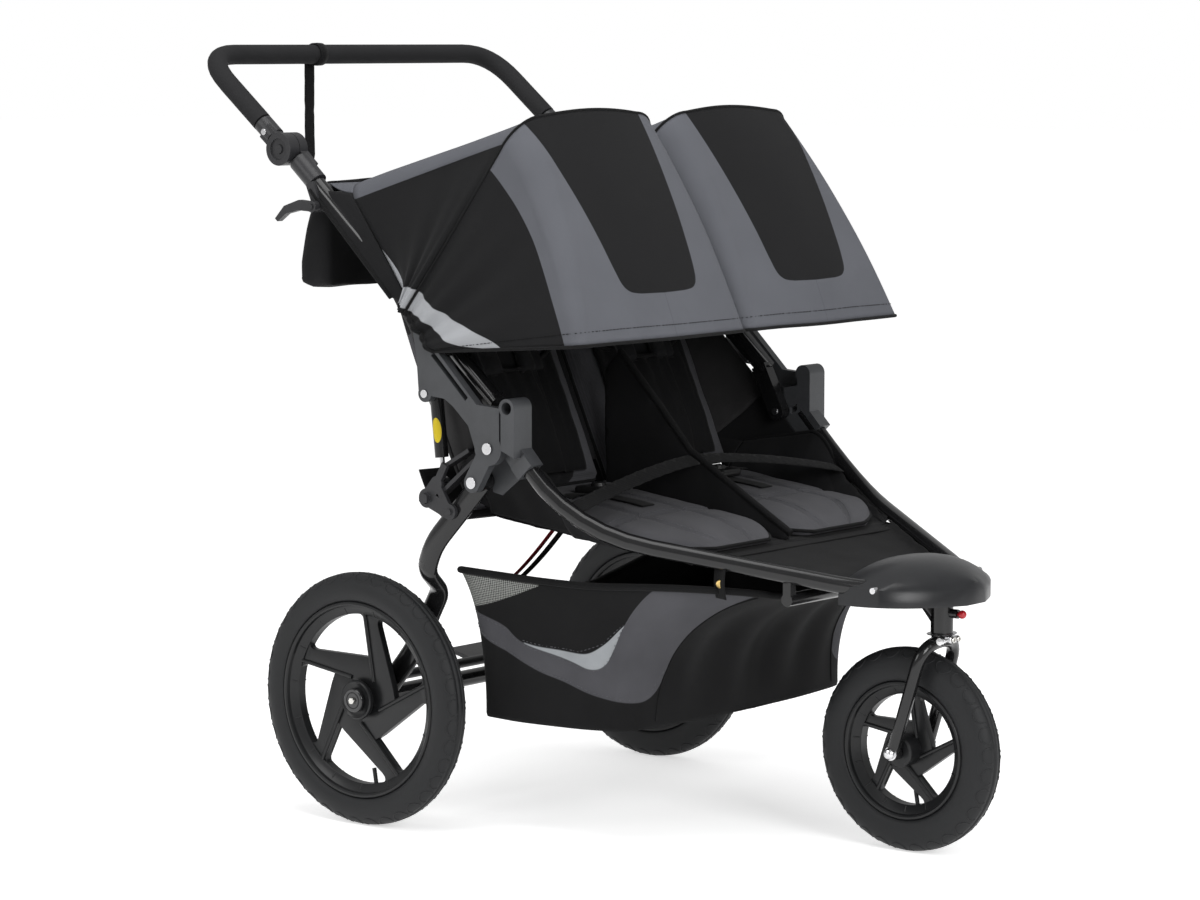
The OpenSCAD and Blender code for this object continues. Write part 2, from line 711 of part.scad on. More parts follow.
module hub_bases() {
    sleeve_at = hub - (hub_r + 2 + sleeve_l) * upper_dir;
    lever_lug_w = 9;
    color(moulded_grey) both() difference() {
        union() {
            pin(hub, hub_r, base_in_x, base_out_x);
            plate(base_in_x, base_out_x) band2d(hub, hub - (hub_r + sleeve_l / 2) * upper_dir,
                sleeve_r - 2);
            translate(p3(upper_x, sleeve_at)) rotate([-atan2(upper_dir[0], upper_dir[1]), 0, 0])
                cylinder(r = sleeve_r, h = sleeve_l);
            pin(hub, hub_pin_r, base_in_x, knuckle_out_x - face_gap);
            plate(upper_x, lever_in_x - face_gap) union() {
                disc2d(lever_p, lever_lug_w);
                band2d(lever_p, sleeve_at, lever_lug_w - 1);
            }
            pin(lever_p, lever_pin_r, upper_x, lever_in_x + lever_t + 2);
        }
        translate(p3(upper_x, upper_low)) rotate([-atan2(upper_dir[0], upper_dir[1]), 0, 0])
            cylinder(r = upper_tube_r + fit, h = upper_len - hub_r - face_gap + fit);
        pin(hub, button_r + fit, base_in_x - over, base_in_x + button_depth);
    }
}

// Fold release levers below the hubs
lever_p = hub + [-74, -88];
lever_pin_r = 4;
lever_in_x = upper_x + sleeve_r + 2;
lever_t = 12;

module release_lever(side) {
    eye_r = 9;
    lever_shares = [[0.01, 0.1], [0.35, 0.13], [0.75, 0.0], [1, -0.26], [0.93, -0.32], [0.7, -0.16],
        [0.35, -0.08],
        [0.01, -0.1]];
    lever_l = 78;
    color(moulded_grey) on_side(side) difference() {
        union() {
            pin(lever_p, eye_r, lever_in_x, lever_in_x + lever_t);
            plate(lever_in_x, lever_in_x + lever_t) polygon([for (s = lever_shares) lever_p + lever_l * s]);
        }
        pin(lever_p, lever_pin_r + fit, lever_in_x - over, lever_in_x + lever_t + over);
    }
}

module release_lever_right() {
    release_lever(-1);
}

module release_lever_left() {
    release_lever(1);
}

module adjust_button(side) {
    proud = 5;
    travel_room = 4.5;
    color(moulded_grey) on_side(side)
        pin(hub, button_r, base_in_x - proud, base_in_x + button_depth - travel_room);
}

module adjust_button_right() {
    adjust_button(-1);
}

module adjust_button_left() {
    adjust_button(1);
}

// Rear pocket: a soft bag hung behind the upper cross tube
module rear_pocket() {
    half_w = 326;
    pocket_top = upper_cross_p + [upper_cross_r + face_gap, 16];
    pocket_shares = [[0, 0], [0.45, -0.02], [0.62, -0.3], [0.92, -0.75], [0.9, -0.96], [0.6, -1], [0,
        -0.98]];
    deep = 72;
    high = 172;
    color(cloth_black) place() plate(-half_w, half_w)
        polygon([for (s = pocket_shares) pocket_top + [s[0] * deep, s[1] * high]]);
}

// Push bar: one bent tube, its foam grip and the hub knuckles
bar_bend = 72;
bar_dir = unit(grip - hub);
bar_start = hub + (hub_r + 6) * bar_dir;
grip_start = hub + 66 * bar_dir;
knuckle_in_x = base_out_x + 1;
knuckle_out_x = base_out_x + 23;

function bar_path(start) = rounded([p3(bar_x, start), p3(bar_x, grip), p3(-bar_x, grip), p3(-bar_x,
    start)],
    [bar_bend, bar_bend], 8);

// The bar's frame turns about the direction square to its sloping plane
bar_ref = [0, -bar_dir[1], bar_dir[0]];

module handlebar_tube() {
    color(tube_black) place() bar(bar_path(bar_start), [bar_r, bar_r], ref = bar_ref);
}

module handlebar_grip() {
    color(rubber_black) place() difference() {
        bar(bar_path(grip_start), [grip_r, grip_r], ref = bar_ref);
        bar(bar_path(bar_start), (bar_r + skin_gap) * [1, 1], ref = bar_ref);
    }
}

module hub_knuckles() {
    sleeve_from = hub + (hub_r + 3) * bar_dir;
    knuckle_sleeve_l = 34;
    knuckle_sleeve_r = 15.5;
    recess_r = 17;
    recess = 3;
    color(moulded_grey) both() difference() {
        union() {
            pin(hub, hub_r, knuckle_in_x, knuckle_out_x);
            plate(knuckle_in_x, bar_x + knuckle_sleeve_r - 2)
                band2d(hub, sleeve_from + knuckle_sleeve_l / 2 * bar_dir, knuckle_sleeve_r - 2);
            translate(p3(bar_x, sleeve_from)) rotate([-atan2(bar_dir[0], bar_dir[1]), 0, 0])
                cylinder(r = knuckle_sleeve_r, h = knuckle_sleeve_l);
        }
        translate(p3(bar_x, bar_start)) rotate([-atan2(bar_dir[0], bar_dir[1]), 0, 0])
            translate([0, 0, -fit]) cylinder(r = bar_r + fit, h = knuckle_sleeve_l + hub_r);
        pin(hub, hub_pin_r + fit, knuckle_in_x - over, knuckle_out_x + over);
        pin(hub, recess_r, knuckle_out_x - recess, knuckle_out_x + over);
    }
}

module hub_screws() {
    screw_r = 5;
    screw_t = 2;
    at_share = 1.62;
    color(bright_steel) both() pin(hub + at_share * hub_r * bar_dir, screw_r, bar_x + 13,
        bar_x + 15.5 + screw_t);
}

// Wrist strap: a loop of webbing round the grip, hanging down
module wrist_strap() {
    strap_x = -87;
    strap_w = 22;
    hang = 176;
    loop_r = grip_r + skin_gap;
    color(cloth_black) place() plate(strap_x - strap_w / 2, strap_x + strap_w / 2) union() {
        difference() {
            disc2d(grip, loop_r + strap_t);
            disc2d(grip, loop_r);
        }
        translate(grip + [loop_r, -hang]) square([strap_t, hang]);
    }
}

// Seat backs: crowned pads that recline about the rod in their lower hem
hem_r = 9;
back_foot = [-seat_rear_fwd + 16, seat_low_h + 12];
back_up = [cos(back_slope), sin(back_slope)];
back_front = [-back_up[1], back_up[0]];
back_out_x = 326;
back_wide_x = 344;
back_bulge = 15;
hem_half_t = 5;
tab_l = 36;
back_tab_shares = [0.93, 0.985];

function back_place(x, s, d) = p3(x, back_foot + s * back_up + d * back_front);
function back_point(u, v, up) = let (
    s = mix(hem_r + 2, back_len, v),
    round_in = 26 * pow(max(0, (v - 0.82) / 0.18), 2.4),
    wide = up ? 0 : 1 - min(1, max(0, (v - 0.84) / 0.08)),
    out_x = mix(back_out_x, back_wide_x, wide),
    x = mix(seat_in_x + pad_side_in(v) / 2 + round_in, out_x - pad_side_in(v) - round_in, u))
    back_place(x, s, up ? back_t - 8 + seat_crown * dome(u) * dome(v) - channels(u,
        v) : -6 - back_bulge * (0.9 + 0.3 * dome(u)) * sin(180 * v));

module seat_back(side) {
    nu = 12;
    nv = 14;
    color(pad_grey) on_side(side) union() {
        skin([for (i = [0:nv]) [for (j = [0:nu]) back_point(j / nu, i / nv, false)]],
            [for (i = [0:nv]) [for (j = [0:nu]) back_point(j / nu, i / nv, true)]]);
        pin(back_foot, hem_r, seat_in_x + pull_in, back_out_x - pull_in);
        plate(seat_in_x + pull_in, back_out_x - pull_in)
            band2d(back_foot, back_foot + (hem_r + 6) * back_up, hem_half_t);
        plate(back_out_x - tab_l, upper_x - upper_tube_r - skin_gap)
            band2d(back_foot + back_tab_shares[0] * back_len * back_up,
                back_foot + back_tab_shares[1] * back_len * back_up, hem_half_t);
    }
}

module seat_back_right() {
    seat_back(-1);
}

module seat_back_left() {
    seat_back(1);
}

// Harness: two shoulder straps with pads, on each seat back
strap_at_shares = [0.34, 0.66];
strap_half_share = 0.055;
harness_lift = 2.9;
pad_half_share = 0.09;
strap_v_shares = [0.12, 0.84];
pad_v_shares = [0.42, 0.8];

function harness_point(u, v, lift) = let (p = back_point(u, v, true)) p + lift * p3(0, back_front);

module harness_strip(u0, half_u, v_shares, thick) {
    nu = 2;
    nv = 6;
    low = [for (i = [0:nv]) [for (j = [0:nu])
        harness_point(u0 + half_u * (2 * j / nu - 1), mix(v_shares[0], v_shares[1], i / nv),
            harness_lift)]];
    top = [for (i = [0:nv]) [for (j = [0:nu])
        harness_point(u0 + half_u * (2 * j / nu - 1), mix(v_shares[0], v_shares[1], i / nv),
            harness_lift + thick)]];
    skin(low, top);
}

module harness(side) {
    web_t = 3;
    pad_t = 10;
    color(cloth_black) on_side(side) for (u = strap_at_shares) union() {
        harness_strip(u, strap_half_share, strap_v_shares, web_t);
        harness_strip(u, pad_half_share, pad_v_shares, pad_t);
    }
}

module harness_right() {
    harness(-1);
}

module harness_left() {
    harness(1);
}

// Canopies: each a fan of hoops from the upper tube over the seat, sewn from a rear and a front panel
canopy_pivot_share = 0.33;
canopy_pivot = upper_low + canopy_pivot_share * upper_len * upper_dir;
canopy_in_x = 2;
inner_leg_share = 0.28;
fold_depth = 2;
// Each hoop: foot from the pivot, top, foot width, top width, corner as a share of its leg
canopy_rear_x = upper_x + upper_tube_r + cloth_t + 1.2;
canopy_foot_x = upper_x + 58;
rear_hoop = [[16, 14], [52, hub_h - 50], canopy_rear_x, canopy_rear_x - 12, 0.17];
spine_hoop = [[10, 16], [110 - bow_fwd, bow_h - 33], canopy_foot_x, upper_x + 8, 0.17];
bow_hoop = [[-4, 6], [-bow_fwd, bow_h], canopy_foot_x + 1, upper_x + 10, 0.17];
cheek_hoop = [[-30, -22], [-mix(bow_fwd, visor_fwd, 0.57), mix(bow_h, visor_h, 0.47)],
    canopy_foot_x + 2, mix(upper_x + 10, visor_x, 0.51), 0.13];
visor_hoop = [[-56, -48], [-visor_fwd, visor_h], canopy_foot_x + 2, visor_x, 0.07];

function hoop_point(h, s, inset) = let (
    foot = canopy_pivot + h[0],
    top = h[1],
    up = unit(top - foot),
    leg = norm(top - foot) - inset,
    c = h[4] * leg,
    low_x = h[2] - inset,
    out_x = h[3] - inset,
    in_x = canopy_in_x + inset,
    rise = 10,
    local = s < 0.34 ? let (t = s / 0.34) [mix(low_x, out_x, t), (leg - c) * t]
        : s < 0.46 ? let (a = 90 * (s - 0.34) / 0.12) [out_x - c * (1 - cos(a)), leg - c + c * sin(a)]
        : s < 0.76 ? let (t = (s - 0.46) / 0.3) [mix(out_x - c, in_x + c, t), leg + rise * sin(180 * t)]
        : s < 0.88 ? let (a = 90 * (s - 0.76) / 0.12) [in_x + c - c * sin(a), leg - c + c * cos(a)]
        : let (t = (s - 0.88) / 0.12) [in_x, leg - c - t * inner_leg_share * leg])
    p3(local[0], foot + local[1] * up);
function blend_hoops(a, b, t) = [for (i = [0:len(a) - 1]) mix(a[i], b[i], t)];
function crease(s, v) = s < 0.34 ? fold_depth * sin(360 * 2 * v) * sin(180 * s / 0.34) : 0;
function canopy_rows(hoops, inset, per, cols) = [for (k = [0:len(hoops) - 2])
    for (i = [0:(k == len(hoops) - 2 ? per : per - 1)]) let (h = blend_hoops(hoops[k], hoops[k + 1],
        i / per))
        [for (j = [0:cols]) let (s = j / cols, p = hoop_point(h, s, inset)) p - [crease(s, i / per), 0,
            0]]];

module canopy_panel(side, hoops) {
    cols = 25;
    per = 4;
    color(cloth_grey) on_side(side)
        skin(canopy_rows(hoops, 0, per, cols), canopy_rows(hoops, cloth_t, per, cols));
}

seam_gap_share = 0.02;

module canopy_rear(side) {
    canopy_panel(side, [rear_hoop, spine_hoop, blend_hoops(spine_hoop, bow_hoop, 1 - seam_gap_share)]);
}

module canopy_front(side) {
    canopy_panel(side, [bow_hoop, cheek_hoop, visor_hoop]);
}

module canopy_rear_right() {
    canopy_rear(-1);
}

module canopy_rear_left() {
    canopy_rear(1);
}

module canopy_front_right() {
    canopy_front(-1);
}

module canopy_front_left() {
    canopy_front(1);
}

// Canopy bows: a bent stay under the seam, turning on a pin in the upper tube
bow_r = 4;
bow_drop = 22;

module canopy_bow(side) {
    eye_x = upper_x + upper_tube_r + 6;
    eye_r = 9;
    stay_x = bow_hoop[3] - bow_drop;
    top = [-bow_fwd, bow_h];
    dir = unit(top - canopy_pivot);
    stay_top = top - (bow_drop + bow_r) * dir;
    stay_end = stay_top - 60 * dir;
    path = rounded([p3(eye_x + bow_r, canopy_pivot + eye_r / 2 * dir), p3(stay_x, stay_top),
        p3(canopy_in_x + bow_drop, stay_top), p3(canopy_in_x + bow_drop, stay_end)], [48, 40]);
    color(tube_black) on_side(side) difference() {
        union() {
            bar(path, [bow_r, bow_r], ref = p3(0, [dir[1], -dir[0]]), sides = 10);
            pin(canopy_pivot, eye_r, upper_x + upper_tube_r + face_gap, eye_x + 2 * bow_r);
        }
        pin(canopy_pivot, bow_r / 2, upper_x, eye_x + bow_r);
    }
}

module canopy_bow_right() {
    canopy_bow(-1);
}

module canopy_bow_left() {
    canopy_bow(1);
}

// Towers: moulded arms that carry the shocks and the swing-arm pivot
tower_y = 148;
tower_z = 172;
tower_shares = [[-0.15, 0], [-0.15, 0.36], [0.15, 0.38], [0.74, 0.88], [0.9, 1], [1, 0.98], [0.955, 0.77],
    [0.925, 0.44], [0.7, 0.42], [0.58, 0.41], [0.465, 0.35], [0.26, 0.19], [0.176, 0]];
slot_shares = [[0.28, 0.42], [0.74, 0.80]];
slot_half_w = 4;
lobe_r = 13;
swing_eye_r = 15;
shock_bolt_r = 4;
swing_pin_r = 6;

module towers() {
    color(moulded_grey) both() difference() {
        plate(tower_in_x, tower_out_x) difference() {
            union() {
                disc2d(pivot, tower_disc_r);
                polygon([for (s = tower_shares) pivot + [s[0] * tower_y, s[1] * tower_z]]);
                disc2d(shock_top, lobe_r);
                disc2d(swing, swing_eye_r);
                band2d(pivot, swing, swing_eye_r);
            }
            band2d(pivot + [slot_shares[0][0] * tower_y, slot_shares[0][1] * tower_z],
                pivot + [slot_shares[1][0] * tower_y, slot_shares[1][1] * tower_z], slot_half_w);
        }
        pin(pivot, pivot_r + fit, tower_in_x - over, tower_out_x + over);
        pin(swing, swing_pin_r + fit, tower_in_x - over, tower_out_x + over);
        pin(shock_top, shock_bolt_r + fit, tower_in_x - over, tower_out_x + over);
    }
}

module tower_bolts() {
    color(bright_steel) both() union() {
        pin(swing, swing_pin_r, arm_top_x - arm_half_t, tower_out_x + bolt_head_t);
        pin(swing, bolt_head_r, tower_out_x + fit, tower_out_x + bolt_head_t);
        pin(shock_top, shock_bolt_r, shock_x - shock_r, tower_out_x + bolt_head_t);
        pin(shock_top, 1.6 * shock_bolt_r, tower_out_x + fit, tower_out_x + bolt_head_t);
    }
}

// Swing arms: oval forgings that curve in behind the wheels
shoulder = swing + [105, -111];
elbow = swing + [116, -148];
knee = swing + [121, -181];
arm_half_w = 20;

arm_shank = rear_axle_c + [-70, 83];
arm_path = rounded([p3(arm_top_x, swing), p3(arm_top_x, shoulder), p3(arm_top_x - 4, elbow),
    p3(arm_low_x + 6, knee), p3(arm_low_x, arm_shank), p3(arm_low_x, rear_axle_c)], [34, 15, 15, 30], 5);

module swing_arm(side) {
    foot_r = 20;
    color(tube_black) on_side(side) difference() {
        union() {
            bar(arm_path, [arm_half_w * 0.9, arm_half_t - face_gap]);
            pin(swing, swing_eye_r, arm_top_x - arm_half_t, arm_top_x + arm_half_t);
            pin(rear_axle_c, foot_r, arm_low_x - arm_half_t, arm_low_x + arm_half_t);
        }
        pin(swing, swing_pin_r + fit, arm_top_x - 2 * arm_half_t, arm_top_x + 2 * arm_half_t);
        pin(rear_axle_c, rear_axle_r + fit, arm_low_x - 2 * arm_half_t, arm_low_x + 2 * arm_half_t);
    }
}

module swing_arm_right() {
    swing_arm(-1);
}

module swing_arm_left() {
    swing_arm(1);
}

// Rear axle: a tube between the swing arms with a stub for each wheel and two brake lugs
brake_p = [46, rear_tyre_r + 14];
brake_bar_r = 5;
brake_lug_x = 270;

module rear_axle() {
    tube_r = 13;
    lug_t = 8;
    collar_r = 11;
    color(tube_black) place() difference() {
        union() {
            pin(rear_axle_c, tube_r, -arm_low_x + arm_half_t + fit, arm_low_x - arm_half_t - fit);
            pin(rear_axle_c, rear_axle_r, -rear_tyre_x - rear_tyre_half_w + 1,
                rear_tyre_x + rear_tyre_half_w - 1);
            for (s = [1, -1]) scale_side(s) {
                pin(rear_axle_c, collar_r, arm_low_x + arm_half_t + fit, wheel_in_x - face_gap);
                plate(brake_lug_x, brake_lug_x + lug_t) band2d(rear_axle_c, brake_p + [8, 3], 9);
            }
        }
        pin(brake_p, brake_bar_r + fit, -rear_tyre_x, rear_tyre_x);
    }
}

// Brake pedal with the cross bar that it turns
module brake_pedal() {
    pedal_half_w = 52;
    pedal_t = 7;
    pedal_l = 54;
    color(tube_black) place() union() {
        pin(brake_p, brake_bar_r, -brake_lug_x - 24, brake_lug_x + 24);
        pin(brake_p, brake_bar_r + 3, -brake_lug_x + 1, brake_lug_x - 1);
        plate(-pedal_half_w, pedal_half_w) band2d(brake_p, brake_p + pedal_l * [cos(14), sin(14)],
            pedal_t / 2);
    }
}

// Suspension plates with their hex bolts and the two link bars behind each tower
module suspension_plates() {
    plate_in_x = arm_top_x + arm_half_t + fit;
    knob = shock_low + [20, -24];
    foot = shock_low + [-26, -42];
    link_end = pivot + [44, -14];
    link_dir = unit(link_end - shock_low);
    link_off = 15 * [-link_dir[1], link_dir[0]];
    link_half_w = 3;
    link_in_x = shock_x - 6;
    lobe_half_w = 6;
    knob_r = 15;
    foot_r = 12;
    hex_r = 9;
    hex_t = 8;
    foot_bolt_r = 5;
    starts = [[1, -8], [-1, 27]];
    color(tube_black) both() union() {
        plate(plate_in_x, tower_in_x + plate_t) union() {
            disc2d(knob, knob_r);
            disc2d(foot, foot_r);
            disc2d(shock_low, lobe_r - 2);
            band2d(knob, foot, foot_r);
            band2d(shock_low, knob, foot_r - 1);
            band2d(shock_low, foot, lobe_half_w);
            for (s = starts) band2d(shock_low, shock_low + s[0] * link_off + (s[1] + 4) * link_dir,
                lobe_half_w);
        }
        for (s = starts) plate(link_in_x, plate_in_x + over)
            band2d(shock_low + s[0] * link_off + s[1] * link_dir, link_end + s[0] * link_off * 0.6,
                link_half_w);
        pin(shock_low, shock_bolt_r, shock_x - shock_r, tower_in_x + plate_t);
        pin(knob, hex_r, tower_in_x + plate_t - over, tower_in_x + plate_t + hex_t, $fn = 6);
        pin(foot, foot_bolt_r, arm_top_x, tower_in_x + plate_t + bolt_head_t);
    }
}

// Shocks: a body hung from each tower and a rod that slides in it
shock_x = frame_x + 1;
shock_dir = unit(shock_low - shock_top);
shock_len = norm(shock_low - shock_top);
rod_r = 4;
rod_room = 1.2;
body_share = 0.72;

module shock_body(side) {
    eye_r = 9;
    bore_from = 34;
    color(tube_black) on_side(side) difference() {
        union() {
            translate(p3(shock_x, shock_top)) rotate([atan2(-shock_dir[0], shock_dir[1]), 0, 0])
                translate([0, 0, eye_r / 2]) cylinder(r = shock_r,
                    h = body_share * shock_len - eye_r / 2);
            pin(shock_top, eye_r, shock_x - shock_r + 2, shock_x + shock_r - 2);
        }
        translate(p3(shock_x, shock_top)) rotate([atan2(-shock_dir[0], shock_dir[1]), 0, 0])
            translate([0, 0, bore_from]) cylinder(r = rod_r + rod_room, h = shock_len);
        pin(shock_top, shock_bolt_r + fit, shock_x - 2 * shock_r, shock_x + 2 * shock_r);
    }
}

module shock_rod(side) {
    eye_r = 8;
    rod_l = 86;
    color(bright_steel) on_side(side) difference() {
        union() {
            translate(p3(shock_x, shock_low)) rotate([atan2(shock_dir[0], -shock_dir[1]), 0, 0])
                translate([0, 0, eye_r / 2]) cylinder(r = rod_r, h = rod_l - eye_r / 2);
            pin(shock_low, eye_r, shock_x - shock_r + 3, shock_x + shock_r - 3);
        }
        pin(shock_low, shock_bolt_r + fit, shock_x - 2 * shock_r, shock_x + 2 * shock_r);
    }
}

module shock_body_right() {
    shock_body(-1);
}

module shock_body_left() {
    shock_body(1);
}

module shock_rod_right() {
    shock_rod(-1);
}

module shock_rod_left() {
    shock_rod(1);
}

// Wheels: a round tyre on a moulded rim with swirling spokes
seat_step = 5;
wheel_in_x = rear_tyre_x - 22;
spoke_t = 12;

module tyre(p, x, r, half_w) {
    seat_r = r - 2 * half_w + seat_step;
    color(rubber_black) place() translate(p3(x, p)) rotate([0, 90,
        0]) rotate_extrude($fn = 96) difference() {
        translate([r - half_w, 0]) circle(r = half_w);
        translate([0, -2 * half_w]) square([seat_r, 4 * half_w]);
    }
}

function turned(p, a) = [p[0] * cos(a) - p[1] * sin(a), p[0] * sin(a) + p[1] * cos(a)];
function crossing(p, d, q, e) = p + d * ((q[0] - p[0]) * e[1] - (q[1] - p[1]) * e[0]) / (d[0] * e[1] - d[1] * e[0]);

module rim(p, x, r, half_w, hub_half_l, bore_r, teeth) {
    seat_r = r - 2 * half_w + seat_step - fit;
    in_r = seat_r - rim_depth;
    lip = 0.62 * half_w;
    flange = 0.8 * half_w;
    hub_w = wheel_hub_r;
    tooth_r = 1.5 * wheel_hub_r;
    tooth_w = 5;
    tooth_t = 5;
    blade_l = in_r + 2;
    turn = 360 / spokes;
    lead_shares = [[1, 0.03], [0.206, 0.165]];
    trail_shares = [[1, 0.2], [0.16, 0.47]];
    next_shares = [for (p = lead_shares) turned(p, turn)];
    meet_share = crossing(trail_shares[0], trail_shares[1] - trail_shares[0],
        next_shares[0], next_shares[1] - next_shares[0]);
    star = [for (i = [0:spokes - 1]) for (p = [lead_shares[0], trail_shares[0], meet_share])
        blade_l * turned(p, turn * (i + 0.5))];
    color(tube_black) place() translate(p3(x, p)) rotate([0, 90, 0]) difference() {
        union() {
            rotate_extrude($fn = 96) polygon([[in_r, -lip / 2], [seat_r - 3, -flange], [seat_r,
                -flange], [seat_r, flange],
                [seat_r - 3, flange], [in_r, lip / 2]]);
            translate([0, 0, -hub_half_l]) cylinder(r = hub_w, h = 2 * hub_half_l);
            translate([0, 0, -spoke_t / 2]) linear_extrude(height = spoke_t) polygon(star);
            if (teeth > 0) difference() {
                translate([0, 0, -hub_half_l]) cylinder(r = tooth_r, h = tooth_t);
                for (i = [0:teeth - 1]) rotate([0, 0, 360 * i / teeth])
                    translate([tooth_r - tooth_w, -tooth_w / 2, -hub_half_l - over])
                        cube([2 * tooth_w, tooth_w, tooth_t + 2 * over]);
            }
        }
        translate([0, 0, -hub_half_l - over]) cylinder(r = bore_r, h = 2 * hub_half_l + 2 * over);
    }
}

rear_hub_half_l = 20;
brake_teeth = 16;

module rear_tyre_right() {
    tyre(rear_axle_c, -rear_tyre_x, rear_tyre_r, rear_tyre_half_w);
}

module rear_tyre_left() {
    tyre(rear_axle_c, rear_tyre_x, rear_tyre_r, rear_tyre_half_w);
}

module rear_rim_left() {
    rim(rear_axle_c, rear_tyre_x, rear_tyre_r, rear_tyre_half_w, rear_hub_half_l, rear_axle_r + fit,
        brake_teeth);
}

module rear_rim_right() {
    mirror([1, 0, 0]) rear_rim_left();
}

module rear_hub_cap(side) {
    cap_r = 19;
    cap_l = 9;
    cap_x = rear_tyre_x + rear_hub_half_l + fit;
    cap_room = 1;
    color(tube_black) on_side(side) difference() {
        pin(rear_axle_c, cap_r, cap_x, cap_x + cap_l);
        pin(rear_axle_c, rear_axle_r + cap_room, cap_x - over, cap_x + cap_l / 2);
    }
}

module rear_hub_cap_right() {
    rear_hub_cap(-1);
}

module rear_hub_cap_left() {
    rear_hub_cap(1);
}

// Fork: a crown on the steerer pin and two blades down to the axle bolt
module fork() {
    crown_r = 16;
    crown_t = head_low_h - crown_h - face_gap;
    boss_half_l = 5;
    boss_r2 = 11;
    nut_r = 7;
    nut_l = 8;
    blade = rounded([[0, steer_y, crown_h + blade_r / 2], [blade_x, steer_y + 4, crown_h],
        p3(blade_x, front_axle_c)], [34]);
    color(tube_black) place() union() {
        translate([0, steer_y, crown_h]) cylinder(r = crown_r, h = crown_t);
        translate([0, steer_y, crown_h]) cylinder(r = steerer_r, h = head_top_h - crown_h - face_gap);
        for (s = [1, -1]) scale_side(s) {
            bar(blade, [blade_r, blade_r], ref = [0, 1, 0]);
            pin(front_axle_c, boss_r2, blade_x - blade_r + 1, blade_x + boss_half_l);
            pin(front_axle_c, nut_r, blade_x + boss_half_l, blade_x + boss_half_l + nut_l);
        }
        pin(front_axle_c, front_axle_r, -blade_x, blade_x);
    }
}

module front_tyre() {
    tyre(front_axle_c, 0, front_tyre_r, front_tyre_half_w);
}

module front_rim() {
    rim(front_axle_c, 0, front_tyre_r, front_tyre_half_w, blade_x - blade_r - 2, front_axle_r + fit, 0);
}

lower_tube_right();
lower_tube_left();
main_brackets();
main_pivot_bolts();
nose_cap();
nose_bolts();
head_tube();
front_cross_tube();
seat_sling();
footwell_mat();
seat_bottom_right();
seat_bottom_left();
seat_divider();
seat_webbing();
basket();
upper_tubes();
upper_cross_tube();
hub_bases();
rear_pocket();
canopy_rear_right();
canopy_rear_left();
handlebar_tube();
handlebar_grip();
hub_knuckles();
hub_screws();
wrist_strap();
adjust_button_right();
adjust_button_left();
release_lever_right();
release_lever_left();
seat_back_right();
seat_back_left();
harness_right();
harness_left();
canopy_front_right();
canopy_front_left();
canopy_bow_right();
canopy_bow_left();
towers();
tower_bolts();
swing_arm_right();
swing_arm_left();
rear_axle();
suspension_plates();
shock_body_right();
shock_body_left();
shock_rod_right();
shock_rod_left();
brake_pedal();
rear_tyre_right();
rear_rim_right();
rear_hub_cap_right();
rear_tyre_left();
rear_rim_left();
rear_hub_cap_left();
fork();
swivel_knob();
front_tyre();
front_rim();
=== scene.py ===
import bpy
import bmesh
import json
from math import radians, sin, cos, pi, exp, sqrt, hypot, atan2
from mathutils import Matrix, Vector, noise

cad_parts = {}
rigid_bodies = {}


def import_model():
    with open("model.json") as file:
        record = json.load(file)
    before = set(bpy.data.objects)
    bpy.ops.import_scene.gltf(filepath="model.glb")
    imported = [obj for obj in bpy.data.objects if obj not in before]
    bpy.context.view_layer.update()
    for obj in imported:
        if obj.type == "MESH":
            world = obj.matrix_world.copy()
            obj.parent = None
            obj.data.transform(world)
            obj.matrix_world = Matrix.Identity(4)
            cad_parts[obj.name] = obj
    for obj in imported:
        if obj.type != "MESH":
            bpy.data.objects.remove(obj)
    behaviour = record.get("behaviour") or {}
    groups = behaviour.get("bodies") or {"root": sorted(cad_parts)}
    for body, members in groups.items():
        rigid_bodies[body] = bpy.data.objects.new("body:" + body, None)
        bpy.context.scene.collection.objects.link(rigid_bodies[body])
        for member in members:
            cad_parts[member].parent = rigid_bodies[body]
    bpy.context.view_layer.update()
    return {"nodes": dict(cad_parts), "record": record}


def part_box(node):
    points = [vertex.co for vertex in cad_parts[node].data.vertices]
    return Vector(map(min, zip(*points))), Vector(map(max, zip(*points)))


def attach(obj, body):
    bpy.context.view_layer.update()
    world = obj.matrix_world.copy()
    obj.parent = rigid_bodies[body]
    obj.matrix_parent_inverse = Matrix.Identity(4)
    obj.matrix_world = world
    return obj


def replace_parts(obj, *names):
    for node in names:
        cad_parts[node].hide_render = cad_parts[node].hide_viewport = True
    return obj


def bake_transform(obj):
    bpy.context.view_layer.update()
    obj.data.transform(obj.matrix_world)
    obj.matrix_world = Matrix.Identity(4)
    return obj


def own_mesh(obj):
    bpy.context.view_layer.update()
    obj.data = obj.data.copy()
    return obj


for leftover in list(bpy.data.objects):
    bpy.data.objects.remove(leftover)
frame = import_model()
nodes = frame["nodes"]
body_with = {n: b for b, ns in frame["record"]["behaviour"]["bodies"].items() for n in ns}


# Studio: a pale floor, an even white room, a broad box lamp overhead and two softer side lamps.
# The camera stands off the right front corner at the photograph's height and angle.
scene = bpy.context.scene
scene.view_settings.view_transform = "Standard"
camera = bpy.data.objects.new("camera", bpy.data.cameras.new("camera"))
camera.data.lens, camera.data.sensor_width, camera.data.clip_end = 113.76, 36, 100
camera.location = (-4.7236, -3.65465, 1.2227)
camera.rotation_euler = (radians(83.835), 0, radians(-51.484))
scene.collection.objects.link(camera)
scene.camera = camera


def box_lamp(name, at, aim, size, power):
    lamp = bpy.data.objects.new(name, bpy.data.lights.new(name, "AREA"))
    lamp.data.shape, lamp.data.size, lamp.data.energy = "SQUARE", size, power
    lamp.location = at
    lamp.rotation_euler = (Vector(aim) - Vector(at)).to_track_quat("-Z", "Y").to_euler()
    scene.collection.objects.link(lamp)


